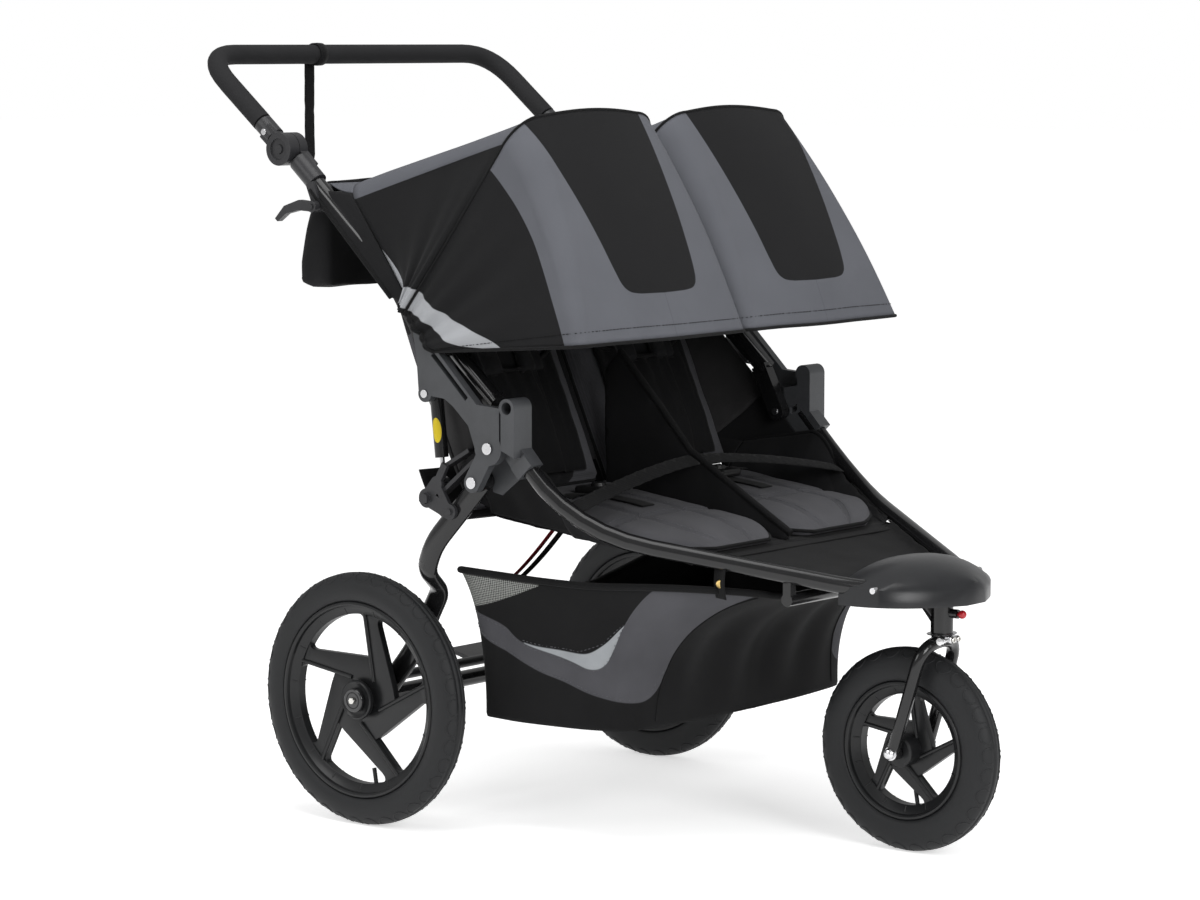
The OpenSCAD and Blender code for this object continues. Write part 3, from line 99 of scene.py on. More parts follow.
box_lamp("lamp_overhead", (-0.8, -0.3, 3.6), (0, 0, 0.5), 2.4, 60)
box_lamp("lamp_front", (-1.6, -4.2, 2.2), (0, 0, 0.6), 1.8, 90)
box_lamp("lamp_right_side", (-4.2, 1.6, 2.4), (0, 0.2, 0.6), 1.6, 42)


def node_tree(owner):
    owner.use_nodes = True
    tree = owner.node_tree
    tree.nodes.clear()

    def add(kind, inputs=None, **settings):
        made = tree.nodes.new("ShaderNode" + kind)
        for key, value in settings.items():
            setattr(made, key, value)
        for key, value in (inputs or {}).items():
            if isinstance(value, bpy.types.NodeSocket):
                tree.links.new(value, made.inputs[key])
            else:
                made.inputs[key].default_value = value
        return made
    return add


def calc(add, how, *values):
    """One step of arithmetic between sockets and numbers."""
    return add("Math", dict(enumerate(values)), operation=how).outputs[0]


WHITE = (1, 1, 1, 1)
ROOM_LIGHT, FLOOR_GLOW = 0.5, 0.55
room = bpy.data.worlds.new("white_room")
scene.world = room
add = node_tree(room)
path = add("LightPath")
seen = calc(add, "MAXIMUM", path.outputs["Is Camera Ray"], path.outputs["Is Transmission Ray"])
strength = add("MapRange", {"Value": seen, "To Min": ROOM_LIGHT, "To Max": 1.0})
glow = add("Background", {"Color": WHITE, "Strength": strength.outputs[0]})
add("OutputWorld", {"Surface": glow.outputs[0]})

floor_mesh = bpy.data.meshes.new("floor")
bm = bmesh.new()
bmesh.ops.create_grid(bm, x_segments=2, y_segments=2, size=40)
bm.to_mesh(floor_mesh)
bm.free()
floor = bpy.data.objects.new("floor", floor_mesh)
scene.collection.objects.link(floor)
floor_paint = bpy.data.materials.new("pale_floor")
add = node_tree(floor_paint)
speck = add("TexNoise", {"Vector": add("TexCoord").outputs["Object"], "Scale": 3.0})
pale = add("MapRange", {"Value": speck.outputs["Fac"], "To Min": 0.93, "To Max": 0.95})
matt = add("BsdfDiffuse", {"Color": pale.outputs[0]})
path = add("LightPath")
seen = calc(add, "MAXIMUM", path.outputs["Is Camera Ray"], path.outputs["Is Glossy Ray"])
glow = add("Emission", {"Color": WHITE, "Strength": calc(add, "MULTIPLY", seen, FLOOR_GLOW)})
add("OutputMaterial", {"Surface": add("AddShader", {0: matt.outputs[0], 1: glow.outputs[0]}).outputs[0]})
floor_mesh.materials.append(floor_paint)


# Lower tubes: two bent aluminium tubes from the main brackets down under the footwell to the nose,
# powder coated gloss black, with a faint orange-peel skin and dust in the lacquer.
def finish(name, colour, rough, metal=0.0, spread=0.25, grain=(900, 0.15, 0.0002), coat=0.0, shine=0.35):
    """A finish whose colour and gloss vary slowly over the piece, with a fine grain in relief."""
    made = bpy.data.materials.new(name)
    add = node_tree(made)
    place = add("TexCoord").outputs["Object"]
    cloudy = add("TexNoise", {"Vector": place, "Scale": 14.0, "Detail": 6.0, "Roughness": 0.65})
    tint = add("MapRange", {"Value": cloudy.outputs["Fac"], "From Min": 0.25, "From Max": 0.75,
                            "To Min": 1 - spread, "To Max": 1 + spread})
    paint = add("VectorMath", {0: colour, 1: tint.outputs[0]}, operation="MULTIPLY")
    gloss = add("MapRange", {"Value": cloudy.outputs["Fac"], "From Min": 0.25, "From Max": 0.75,
                             "To Min": rough * 0.82, "To Max": min(1, rough * 1.18)})
    fine = add("TexNoise", {"Vector": place, "Scale": float(grain[0]), "Detail": 3.0})
    relief = add("Bump", {"Height": fine.outputs["Fac"], "Strength": grain[1], "Distance": grain[2]})
    shade = add("BsdfPrincipled", {"Base Color": paint.outputs[0], "Roughness": gloss.outputs[0],
                                   "Normal": relief.outputs[0], "Metallic": metal, "Coat Weight": coat,
                                   "Coat Roughness": 0.08, "Specular IOR Level": shine})
    add("OutputMaterial", {"Surface": shade.outputs[0]})
    return made


gloss_black = finish("gloss_black_coat", (0.009, 0.009, 0.0095), 0.2, coat=0.3, grain=(420, 0.12, 0.0003),
                     shine=0.25)


def shade_by_angle(bm, sharp=35):
    for face in bm.faces:
        face.smooth = True
    for edge in bm.edges:
        edge.smooth = len(edge.link_faces) == 2 and edge.calc_face_angle(0) < radians(sharp)


def round_edges(bm, edges, radius, segments):
    bmesh.ops.bevel(bm, geom=edges, offset=radius, offset_type="OFFSET", segments=segments, profile=0.5,
                    affect="EDGES", clamp_overlap=True, material=-1)


def as_piece(bm, name, body, material):
    """Turns a bmesh into a piece that rides on a body; given a tuple of bodies and points, it stays in place
    on no body.
    """
    mesh = bpy.data.meshes.new(name)
    bm.to_mesh(mesh)
    bm.free()
    piece = bpy.data.objects.new(name, mesh)
    for coat in material if isinstance(material, list) else [material]:
        mesh.materials.append(coat)
    scene.collection.objects.link(piece)
    if isinstance(body, tuple):
        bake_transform(piece)
    else:
        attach(piece, body)
    return piece


def softened(node, material, edge=0.0, sharp=35, name=None):
    """A merged copy of a node with its corners rounded off, standing in the node's place."""
    bm = bmesh.new()
    bm.from_mesh(nodes[node].data)
    bmesh.ops.remove_doubles(bm, verts=bm.verts, dist=2e-5)
    bmesh.ops.dissolve_degenerate(bm, dist=1e-5, edges=bm.edges)
    for layer in list(bm.loops.layers.uv):
        bm.loops.layers.uv.remove(layer)
    if edge:
        bmesh.ops.dissolve_limit(bm, angle_limit=radians(0.8), verts=bm.verts, edges=bm.edges)
        corners = [e for e in bm.edges if len(e.link_faces) == 2 and e.calc_face_angle(0) > radians(sharp)]
        round_edges(bm, corners, edge, 2)
        bmesh.ops.remove_doubles(bm, verts=bm.verts, dist=1e-6)
    for face in bm.faces:
        face.material_index = 0
    shade_by_angle(bm, sharp if not edge else 50)
    piece = as_piece(bm, name or node + "_finish", body_with[node], material)
    normals = piece.data.attributes.get("custom_normal")
    if normals:
        piece.data.attributes.remove(normals)
    if edge:
        piece.modifiers.new("even_faces", "WEIGHTED_NORMAL").keep_sharp = True
    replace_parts(piece, node)
    return piece


for side in ("right", "left"):
    softened("lower_tube_" + side, gloss_black, sharp=60)


# Main brackets, towers and hubs: injection-moulded glass-filled nylon, satin charcoal with a fine
# eroded grain, bolted to the tubes; every outer corner has a moulded radius.
satin_charcoal = finish("satin_charcoal_nylon", (0.052, 0.054, 0.058), 0.42, grain=(1500, 0.35, 0.0004))
satin_black = finish("satin_black_plastic", (0.022, 0.022, 0.024), 0.38, grain=(1500, 0.3, 0.0004))
for name, coat, radius in (("main_brackets", satin_charcoal, 0.0042), ("towers", satin_charcoal, 0.0026),
                           ("hub_bases", satin_black, 0.002), ("hub_knuckles", satin_black, 0.002)):
    softened(name, coat, radius)
nose_nylon = finish("nose_cap_nylon", (0.015, 0.0155, 0.017), 0.32, grain=(1500, 0.22, 0.0003), shine=0.32)
softened("nose_cap", nose_nylon, sharp=55)
for name in ("suspension_plates", "brake_pedal"):
    softened(name, satin_black, edge=0.0012)
for side in ("right", "left"):
    softened("release_lever_" + side, satin_black, edge=0.0026)
    softened("adjust_button_" + side, satin_black, edge=0.0015)
    softened("shock_body_" + side, gloss_black, edge=0.0012)


# Coated members: upper tubes, cross tubes, head tube and axle cut square at their ends, and the bent
# swing arms, fork, push bar and canopy stays, all gloss black like the lower tubes.
for name in ("upper_tubes", "upper_cross_tube", "front_cross_tube", "head_tube", "rear_axle"):
    softened(name, gloss_black, edge=0.0008)
for name in ("swing_arm_right", "swing_arm_left", "fork", "handlebar_tube", "canopy_bow_right",
             "canopy_bow_left"):
    softened(name, gloss_black, sharp=50)


# Bright hardware: zinc-plated bolts, screws and shock rods with rounded corners, and the red knob
# that locks the front wheel's swivel.
zinc = finish("bright_zinc", (0.62, 0.62, 0.63), 0.24, metal=1.0, spread=0.12, grain=(700, 0.2, 0.0002))
for name in ("main_pivot_bolts", "tower_bolts", "nose_bolts", "hub_screws", "shock_rod_right",
             "shock_rod_left"):
    softened(name, zinc, edge=0.0007)
knob_red = finish("red_knob", (0.45, 0.012, 0.02), 0.3, grain=(900, 0.2, 0.0002), coat=0.3)
softened("swivel_knob", knob_red, sharp=40)


# Cloth in general: a plain-weave polyester, cut flat and sewn. Its threads run along the cut, and
# panels of a second colour are sewn in along seam lines. Y0 is where the rear axle lies in the frame,
# and the seed holds the creases of all cloths the same in each run.
Y0 = 0.28205
SIDES = {"right": -1, "left": 1}
CREASE_SEED = 5
noise.seed_set(CREASE_SEED)


def woven(name, colour, pitch=0.0017, second=None, panel=None, accents=(), sheen=0.03, rough=0.85,
          spread=0.16, relief=0.45):
    """A woven cloth on the piece's own cut map; panel masks where the second colour is sewn in."""
    made = bpy.data.materials.new(name)
    add = node_tree(made)
    where = add("TexCoord")
    cut = where.outputs["UV"]
    warp, weft = (add("TexWave", {"Vector": cut, "Scale": 0.314 / pitch, "Distortion": 0.4},
                      bands_direction=way).outputs["Fac"] for way in "XY")
    threads = calc(add, "MULTIPLY", warp, weft)
    cloudy = add("TexNoise", {"Vector": where.outputs["Object"], "Scale": 9.0, "Detail": 5.0})
    tint = add("MapRange", {"Value": cloudy.outputs["Fac"], "From Min": 0.3, "From Max": 0.7,
                            "To Min": 1 - spread, "To Max": 1 + spread})
    shadow = add("MapRange", {"Value": threads, "To Min": 0.78, "To Max": 1.12})
    both = calc(add, "MULTIPLY", tint.outputs[0], shadow.outputs[0])
    sewn_in = panel(add, where) if panel else 0
    dye = add("Mix", {0: sewn_in, 6: (*colour, 1), 7: (*(second or colour), 1)}, data_type="RGBA")
    for trim, patch in accents:
        dye = add("Mix", {0: patch(add, where), 6: dye.outputs[2], 7: (*trim, 1)}, data_type="RGBA")
    paint = add("VectorMath", {0: dye.outputs[2], 1: both}, operation="MULTIPLY")
    bump = add("Bump", {"Height": threads, "Strength": relief, "Distance": 0.0004})
    shade = add("BsdfPrincipled", {"Base Color": paint.outputs[0], "Roughness": rough,
                                   "Normal": bump.outputs[0], "Sheen Weight": sheen, "Sheen Roughness": 0.5,
                                   "Specular IOR Level": 0.12})
    add("OutputMaterial", {"Surface": shade.outputs[0]})
    return made


BLACK, GREY, CHARCOAL = (0.0118, 0.0118, 0.0126), (0.122, 0.126, 0.142), (0.080, 0.080, 0.087)
cloth_black = woven("black_cloth", BLACK)
lining = woven("black_lining", (0.008, 0.008, 0.0085))
binding = woven("black_binding", (0.009, 0.009, 0.0095), pitch=0.0011, relief=0.6)
thread_grey = finish("grey_thread", (0.11, 0.11, 0.12), 0.7, shine=0.1)
thread_black = finish("black_thread", (0.006, 0.006, 0.006), 0.7, shine=0.1)


def shares(n):
    """Even shares from 0 to 1 in n steps."""
    return [i / n for i in range(n + 1)]


def cut_grid(cols, rows, span):
    """A flat grid of cloth, with its cut map in metres."""
    bm = bmesh.new()
    cut = bm.loops.layers.uv.new("cut")
    bmesh.ops.create_grid(bm, x_segments=cols, y_segments=rows, size=0.5, calc_uvs=True)
    for face in bm.faces:
        face.smooth = True
        for loop in face.loops:
            loop[cut].uv = (loop[cut].uv[0] * span[0], loop[cut].uv[1] * span[1])
    return bm


def sheet_grid(cols, rows, span, place, turned=False):
    """A grid of cloth: place(s, t) gives the point for shares s across and t along the cut."""
    bm = cut_grid(cols, rows, span)
    for vert in bm.verts:
        vert.co = place(vert.co.x + 0.5, vert.co.y + 0.5)
    if turned:
        bmesh.ops.reverse_faces(bm, faces=bm.faces)
    return bm


def run_mesh(bm, runs, radius, sides=2, closed=False):
    """Adds round cords along lists of points."""
    line = bpy.data.curves.new("run", "CURVE")
    line.dimensions, line.use_fill_caps = "3D", True
    line.bevel_depth, line.bevel_resolution = radius, sides
    for points in runs:
        spline = line.splines.new("POLY")
        spline.points.add(len(points) - 1)
        spline.use_cyclic_u = closed
        for i, p in enumerate(points):
            spline.points[i].co = (*p, 1)
    holder = bpy.data.objects.new("run", line)
    scene.collection.objects.link(holder)
    bpy.context.view_layer.update()
    mesh = bpy.data.meshes.new_from_object(holder.evaluated_get(bpy.context.evaluated_depsgraph_get()))
    bm.from_mesh(mesh)
    bpy.data.objects.remove(holder)
    for face in bm.faces:
        face.smooth = True
    return bm


def piping(name, runs, radius, body, material, sides=2, closed=False):
    return as_piece(run_mesh(bmesh.new(), runs, radius, sides, closed), name, body, material)


def dashes(points, length=0.0045, gap=0.003):
    """Cuts a line of points into stitches."""
    runs, spare = [], 0.0
    for a, b in zip(points, points[1:]):
        a, b = Vector(a), Vector(b)
        d, along = (b - a).length, spare
        while along < d:
            runs.append([a.lerp(b, along / d), a.lerp(b, min(1, (along + length) / d))])
            along += length + gap
        spare = along - d
    return runs


def thicken(piece, name, thick, offset=0):
    wall = piece.modifiers.new(name, "SOLIDIFY")
    wall.thickness, wall.offset = thick, offset
    return wall


def ribbon(name, points, wide, thick, body, material):
    """A flat strap along points; wide is the strap's width as a direction and length."""
    steps = len(points) - 1
    bm = sheet_grid(4, steps, (0.02, len(points) * 0.01),
                    lambda s, t: Vector(points[round(t * steps)]) + (s - 0.5) * Vector(wide))
    bmesh.ops.recalc_face_normals(bm, faces=bm.faces)
    piece = as_piece(bm, name, body, material)
    thicken(piece, "strap_thickness", thick)
    rounded = piece.modifiers.new("strap_edge", "BEVEL")
    rounded.width, rounded.segments, rounded.limit_method = thick * 0.35, 2, "ANGLE"
    return piece


# Canopies: each a fan of sewn cloth over a hinged stay, grey over the top with a black tongue panel
# in front and black sides.
PIVOT = (-0.11342, 0.80175)
HOOPS = {"rear": ((0.016, 0.014), (0.052, 1.003), 0.3627, 0.3507, 0.17),
         "spine": ((0.010, 0.016), (-0.190, 1.077), 0.404, 0.354, 0.17),
         "bow": ((-0.004, 0.006), (-0.300, 1.110), 0.405, 0.356, 0.17),
         "cheek": ((-0.030, -0.022), (-0.39918, 0.95349), 0.406, 0.3861, 0.13),
         "visor": ((-0.056, -0.048), (-0.474, 0.777), 0.406, 0.415, 0.07)}
FRONT, REAR = ("bow", "cheek", "visor"), ("rear", "spine", "bow")
SIDE_END, SHOULDER_END, ROOF_END, INNER_END = 0.34, 0.46, 0.76, 0.88


def between_hoops(names, t):
    """The hoop at share t of a panel, on a smooth line through its three hoops."""
    a, b, c = ([*h[0], *h[1], *h[2:]] for h in (HOOPS[n] for n in names))
    la, lb, lc = (1 - t) * (1 - 2 * t), 4 * t * (1 - t), t * (2 * t - 1)
    return [la * p + lb * q + lc * r for p, q, r in zip(a, b, c)]


def hoop_point(hoop, s, sign, inset=0.0):
    """A point at share s of a hoop: up the side, round the shoulder, over the roof and down inside."""
    foot = (PIVOT[0] + hoop[0], PIVOT[1] + hoop[1])
    along, up = hoop[2] - foot[0], hoop[3] - foot[1]
    leg = hypot(along, up)
    along, up, leg = along / leg, up / leg, leg - inset
    c, low_x, out_x, in_x = hoop[6] * leg, hoop[4] - inset, hoop[5] - inset, 0.002 + inset
    if s < SIDE_END:
        t = s / SIDE_END
        x, h = low_x + (out_x - low_x) * t, (leg - c) * t
    elif s < SHOULDER_END:
        a = pi / 2 * (s - SIDE_END) / (SHOULDER_END - SIDE_END)
        x, h = out_x - c * (1 - cos(a)), leg - c + c * sin(a)
    elif s < ROOF_END:
        t = (s - SHOULDER_END) / (ROOF_END - SHOULDER_END)
        x, h = out_x - c + (in_x + c - out_x + c) * t, leg + 0.010 * sin(pi * t)
    elif s < INNER_END:
        a = pi / 2 * (s - ROOF_END) / (INNER_END - ROOF_END)
        x, h = in_x + c - c * sin(a), leg - c + c * cos(a)
    else:
        x, h = in_x, leg - c - (s - INNER_END) / (1 - INNER_END) * 0.28 * leg
    return Vector((sign * x, foot[0] + h * along + Y0, foot[1] + h * up))


def canopy_point(names, s, t, sign, lift=0.0):
    """A point of the stretched cloth, with slack between the stays and soft folds low on the side."""
    p = hoop_point(between_hoops(names, t), s, sign, -lift)
    low = max(0.0, 1 - s / 0.36)
    slack = 0.0045 * sin(pi * t) * (1 - 0.5 * low)
    folds = low * (0.0035 * sin(2 * pi * (2.2 * t + 0.6 * s)) + 0.0025 * sin(2 * pi * 4.3 * t + 3 * s))
    ripple = 0.0016 * noise.noise(Vector((7 * p.x, 9 * p.y, 9 * p.z)))
    middle = Vector((sign * 0.18, p.y, p.z - 0.3))
    inward = (middle - p).normalized() if s > 0.36 else Vector((-sign, 0, 0))
    return p + inward * (slack + folds - ripple)


def band_mask(add, value, edge, soft):
    """1 where value is above edge, over a soft share."""
    return add("MapRange", {"Value": value, "From Min": edge - soft, "From Max": edge + soft}).outputs[0]


def flip(add, mask):
    return calc(add, "SUBTRACT", 1.0, mask)


def line_of(add, value, low, high, points):
    """A drawn curve: points are shares of value between low and high, and what the curve gives there."""
    share = add("MapRange", {"Value": value, "From Min": low, "From Max": high})
    curve = add("FloatCurve", {"Value": share.outputs[0]})
    line = curve.mapping.curves[0]
    line.points[0].location, line.points[-1].location = points[0], points[-1]
    for p in points[1:-1]:
        line.points.new(*p)
    for mark in line.points:
        mark.handle_type = "AUTO_CLAMPED"
    curve.mapping.use_clip = False
    curve.mapping.update()
    return curve.outputs[0]


TONGUE_MIDDLE, TONGUE_HALF, SIDE_PANEL, SEAM_SOFT = 0.197, 0.137, 0.31, 0.0006


def tongue_and_side(add, where):
    """Black where the tongue panel or the side panel is sewn into the grey front."""
    x, y, z = add("SeparateXYZ", {0: where.outputs["Object"]}).outputs
    x = calc(add, "ABSOLUTE", x)
    half = line_of(add, z, 0.845, 1.115, [(0, 0.0), (0.006, 0.45), (0.025, 0.60), (0.06, 0.665), (0.12, 0.70),
                                          (0.3, 0.76), (0.6, 0.86), (1, 1.0)])
    half_w = calc(add, "MULTIPLY", half, TONGUE_HALF)
    off = calc(add, "ABSOLUTE", calc(add, "SUBTRACT", x, TONGUE_MIDDLE))
    tongue = band_mask(add, calc(add, "SUBTRACT", half_w, off), 0.0, SEAM_SOFT)
    seam = line_of(add, y, -0.17, 0.05, [(0, 0.0), (0.21, 0.32), (0.474, 0.68), (0.737, 0.92), (1, 1.1)])
    seam_z = add("MapRange", {"Value": seam, "To Min": 0.755, "To Max": 1.02}, clamp=False).outputs[0]
    behind = band_mask(add, calc(add, "SUBTRACT", seam_z, z), 0.0, SEAM_SOFT)
    outer = band_mask(add, x, SIDE_PANEL, SEAM_SOFT)
    return calc(add, "MAXIMUM", tongue, calc(add, "MULTIPLY", behind, outer))


def side_and_top(add, where):
    """Black below the grey strip that runs along the top of the rear panel."""
    across = add("SeparateXYZ", {0: where.outputs["UV"]}).outputs[0]
    return band_mask(add, calc(add, "SUBTRACT", 0.355, across), 0.0, 0.0008)


def between_lines(add, where, length, low, high):
    """1 between two lines across the cut, drawn along its length."""
    across, along, _ = add("SeparateXYZ", {0: where.outputs["UV"]}).outputs
    over, under = (line_of(add, along, 0.0, length, line) for line in (low, high))
    above = band_mask(add, calc(add, "SUBTRACT", across, over), 0.0, 0.001)
    inside = band_mask(add, calc(add, "SUBTRACT", under, across), 0.0, 0.001)
    return calc(add, "MULTIPLY", above, inside)


def front_reflector(add, where):
    return between_lines(add, where, 0.4, [(0, 0.010), (0.26, 0.022), (0.64, 0.04), (0.94, 0.075), (1, 0.15)],
                         [(0, 0.05), (0.4, 0.065), (0.76, 0.11), (1, 0.175)])


def rear_reflector(add, where):
    return between_lines(add, where, 0.42, [(0, 0.03), (0.1, 0.012), (1, 0.010)],
                         [(0, 0.19), (0.05, 0.12), (0.12, 0.07), (0.4, 0.05), (1, 0.05)])


SILVER, CANOPY_CLOTH = (0.42, 0.43, 0.45), 0.0022
canopy_front_cloth = woven("canopy_front_cloth", GREY, second=BLACK, panel=tongue_and_side, spread=0.06,
                           accents=[(SILVER, front_reflector)])
canopy_rear_cloth = woven("canopy_rear_cloth", GREY, second=BLACK, panel=side_and_top, spread=0.06,
                          accents=[(SILVER, rear_reflector)])


def cloth_sheet(bm, name, body, material, node=None, thick=0.0018):
    """A sheet of cloth with its lining on the inner side."""
    piece = as_piece(bm, name, body, [material, lining])
    thicken(piece, "cloth_thickness", thick, -1).material_offset = 1
    if node:
        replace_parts(piece, node)
    return piece


for side, sign in SIDES.items():
    hood = "hood_" + side
    front_bm = sheet_grid(96, 44, (1.0, 0.4), lambda s, t: canopy_point(FRONT, s, t, sign), sign < 0)
    front = cloth_sheet(front_bm, "canopy_front_cloth_" + side, hood, canopy_front_cloth,
                        "canopy_front_" + side, CANOPY_CLOTH)
    rear_bm = sheet_grid(96, 40, (1.0, 0.42), lambda s, t: canopy_point(REAR, s, 0.985 * t, sign), sign < 0)
    last_stay, bow = (0, 0.052 + Y0, 1.003), (0, -0.3 + Y0, 1.11)
    rear = cloth_sheet(rear_bm, "canopy_rear_cloth_" + side, ("upper_frame", hood, last_stay, bow),
                       canopy_rear_cloth, "canopy_rear_" + side, CANOPY_CLOTH)
    back, fore = atan2(0.201, -0.165), atan2(0.308, 0.187)
    edge, stitch, seam = ([canopy_point(FRONT, s, t, sign, lift) for s in shares(90)]
                          for t, lift in ((1.0, 0.0), (0.945, 0.0006), (0.0, 0.0)))
    foot = [canopy_point(FRONT, 0.004, t, sign) for t in shares(40)]
    hem = piping("canopy_hem_" + side, [edge], 0.0026, hood, binding)
    welt = piping("canopy_welt_" + side, [seam], 0.0022, hood, binding)
    hem_stitch = piping("canopy_hem_stitch_" + side, dashes(stitch), 0.0006, hood, thread_black, sides=1)
    foot_edge = piping("canopy_foot_binding_" + side, [foot], 0.0042, hood, binding)
    for piece in (front, hem, hem_stitch, foot_edge):
        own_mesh(piece)


# Canopy tails: black cloth that closes each hood back to the upper tube, with a bound edge that lies
# along the tube.
def tail_point(u, v, sign):
    fore = hoop_point(between_hoops(REAR, 0.0), 0.02 + 0.36 * u, sign)
    z = fore.z + 0.004
    aft = Vector((sign * 0.3615, -0.280 + (z - 0.613) * 1.0273 + Y0 + 0.004, z))
    p = fore.lerp(aft, v)
    p.x += sign * (0.0015 - 0.004 * sin(pi * v) * u)
    return p


for side, sign in SIDES.items():
    tail = cloth_sheet(sheet_grid(30, 10, (0.26, 0.06), lambda u, v: tail_point(u, v, sign), sign > 0),
                       "canopy_tail_" + side, "upper_frame", cloth_black)
    bound = [tail_point(u, 1.0, sign) for u in shares(30)]
    lace = piping("canopy_tail_binding_" + side, [bound], 0.0034, "upper_frame", binding)


# Canopy flaps: the grey roof of each hood carried on past its last stay, laid over the upper cross
# tube and sewn down along it.
flap_cloth = woven("canopy_flap_cloth", GREY, spread=0.06)
TUBE_Y, TUBE_Z, TUBE_END, FLAP_R, FLAP_FREE = 0.3816, 0.9892, 0.333, 0.0112, 0.7


def flap_point(u, v, sign):
    """A flap hangs free from the stay to the tube, and its last share is wrapped over the tube."""
    fore = hoop_point(between_hoops(REAR, 0.0), 0.38 + 0.47 * u, sign)
    free = min(1.0, v / FLAP_FREE)
    turn = radians(120 - 55 * max(0.0, v - FLAP_FREE) / (1 - FLAP_FREE))
    aft = Vector((sign * min(abs(fore.x), TUBE_END), TUBE_Y + FLAP_R * cos(turn),
                  TUBE_Z + FLAP_R * sin(turn)))
    p = fore.lerp(aft, free)
    p.z -= 0.003 * sin(pi * free) * (1 + 0.5 * sin(2 * pi * 5 * u))
    return p


for side, sign in SIDES.items():
    flap = cloth_sheet(sheet_grid(60, 18, (0.36, 0.07), lambda u, v: flap_point(u, v, sign), sign > 0),
                       "canopy_flap_" + side, "upper_frame", flap_cloth)
    sewn = [flap_point(u, 0.96, sign) + Vector((0, 0, 0.0008)) for u in shares(90)]
    flap_stitch = piping("canopy_flap_stitch_" + side, dashes(sewn), 0.0006, "upper_frame", thread_black,
                         sides=1)


# Seat sling and footwell mat: one hammock of black cloth hung between the side tubes, with a tougher
# mat ahead of the seats and a tail that goes on under the feet of the seat backs.
mat_cloth = woven("footwell_cloth", (0.012, 0.012, 0.0125), pitch=0.0026, relief=0.7)


def box_cut(bm):
    """Lays a cut map on a piece from the side that each face looks to."""
    cut = bm.loops.layers.uv.new("cut")
    for face in bm.faces:
        face.smooth = True
        k = max(range(3), key=lambda i: abs(face.normal[i]))
        a, b = [i for i in range(3) if i != k]
        for loop in face.loops:
            loop[cut].uv = (loop.vert.co[a], loop.vert.co[b])


def cloth_copy(node, name, material, size=0.016, easing=3, crease=0.0015, fine=24.0):
    """A soft piece in its solid's own form: cut finer, eased at the edges and a little creased."""
    bm = bmesh.new()
    bm.from_mesh(nodes[node].data)
    bmesh.ops.remove_doubles(bm, verts=bm.verts, dist=1e-5)
    for _ in range(6):
        long_edges = [e for e in bm.edges if e.calc_length() > size]
        if not long_edges:
            break
        bmesh.ops.subdivide_edges(bm, edges=long_edges, cuts=1)
        bmesh.ops.triangulate(bm, faces=[f for f in bm.faces if len(f.verts) > 3])
    for _ in range(easing):
        bmesh.ops.smooth_vert(bm, verts=bm.verts, factor=0.5, use_axis_x=True, use_axis_y=True,
                              use_axis_z=True)
    for vert in bm.verts:
        vert.co += crease * noise.noise_vector(vert.co * fine)
    bm.normal_update()
    box_cut(bm)
    piece = as_piece(bm, name, body_with[node], material)
    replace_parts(piece, node)
    return piece


sling = cloth_copy("seat_sling", "seat_sling_cloth", cloth_black)
mat = cloth_copy("footwell_mat", "footwell_mat_cloth", mat_cloth, crease=0.001)

TAIL_W, TAIL_FORE, TAIL_RUN, TAIL_Z, TAIL_RISE = 0.66, 0.080, 0.120, 0.499, 0.063


def sling_tail(u, v):
    """The sling's rear edge, carried on under the feet of the seat backs and turned up behind them."""
    sag = 0.010 * sin(pi * v) + 0.006 * sin(pi * u)
    rise = TAIL_RISE * max(0.0, 2 * v - 1) ** 2
    return Vector((TAIL_W * (u - 0.5), TAIL_FORE + TAIL_RUN * v, TAIL_Z - sag + rise))


tail = cloth_sheet(sheet_grid(60, 20, (TAIL_W, 0.155), sling_tail), "seat_sling_tail", "chassis", cloth_black)


# Seat cushions: charcoal cloth over foam, piped all round and quilted into channels; each lies on the
# sling and is tied to it through its base.
pad_cloth = woven("seat_cloth", CHARCOAL, pitch=0.0021, sheen=0.05, relief=0.6)
SEAT_REAR, SEAT_L, SEAT_W, SEAT_Z, SEAT_DROP = -0.192, 0.364, 0.284, 0.500, 0.046
TUBE_OUT, TUBE_R, ELBOW_Y, NOSE_RUN, NOSE_IN = 0.372, 0.0166, -0.422, 0.344, 0.229
SEAT_OUT, SEAT_GAP = 0.298, 0.015
CHANNELS, CROSS_CHANNEL = (0.3, 0.7), 0.64


def dome(s):
    return 1 - abs(2 * s - 1) ** 3


def groove(u, v, depth=0.006):
    marks = [exp(-((v - CROSS_CHANNEL) / 0.022) ** 2)] + [exp(-((u - k) / 0.026) ** 2) for k in CHANNELS]
    return depth * max(marks)


def rim_round(u, v, wide, long, radius=0.020):
    edge = min(1.0, min(u * wide, (1 - u) * wide, v * long, (1 - v) * long) / radius)
    return sqrt(max(0.0, 1 - (1 - edge) ** 2))


def seat_out(y):
    """How far out a cushion goes where the side tubes run in towards the nose."""
    f = max(0.0, (ELBOW_Y - y) / NOSE_RUN)
    return min(SEAT_OUT, TUBE_OUT - NOSE_IN * f - TUBE_R - SEAT_GAP)


def seat_base(y):
    """How high the sling lies under a cushion."""
    return SEAT_Z - SEAT_DROP * (SEAT_REAR - y) / SEAT_L


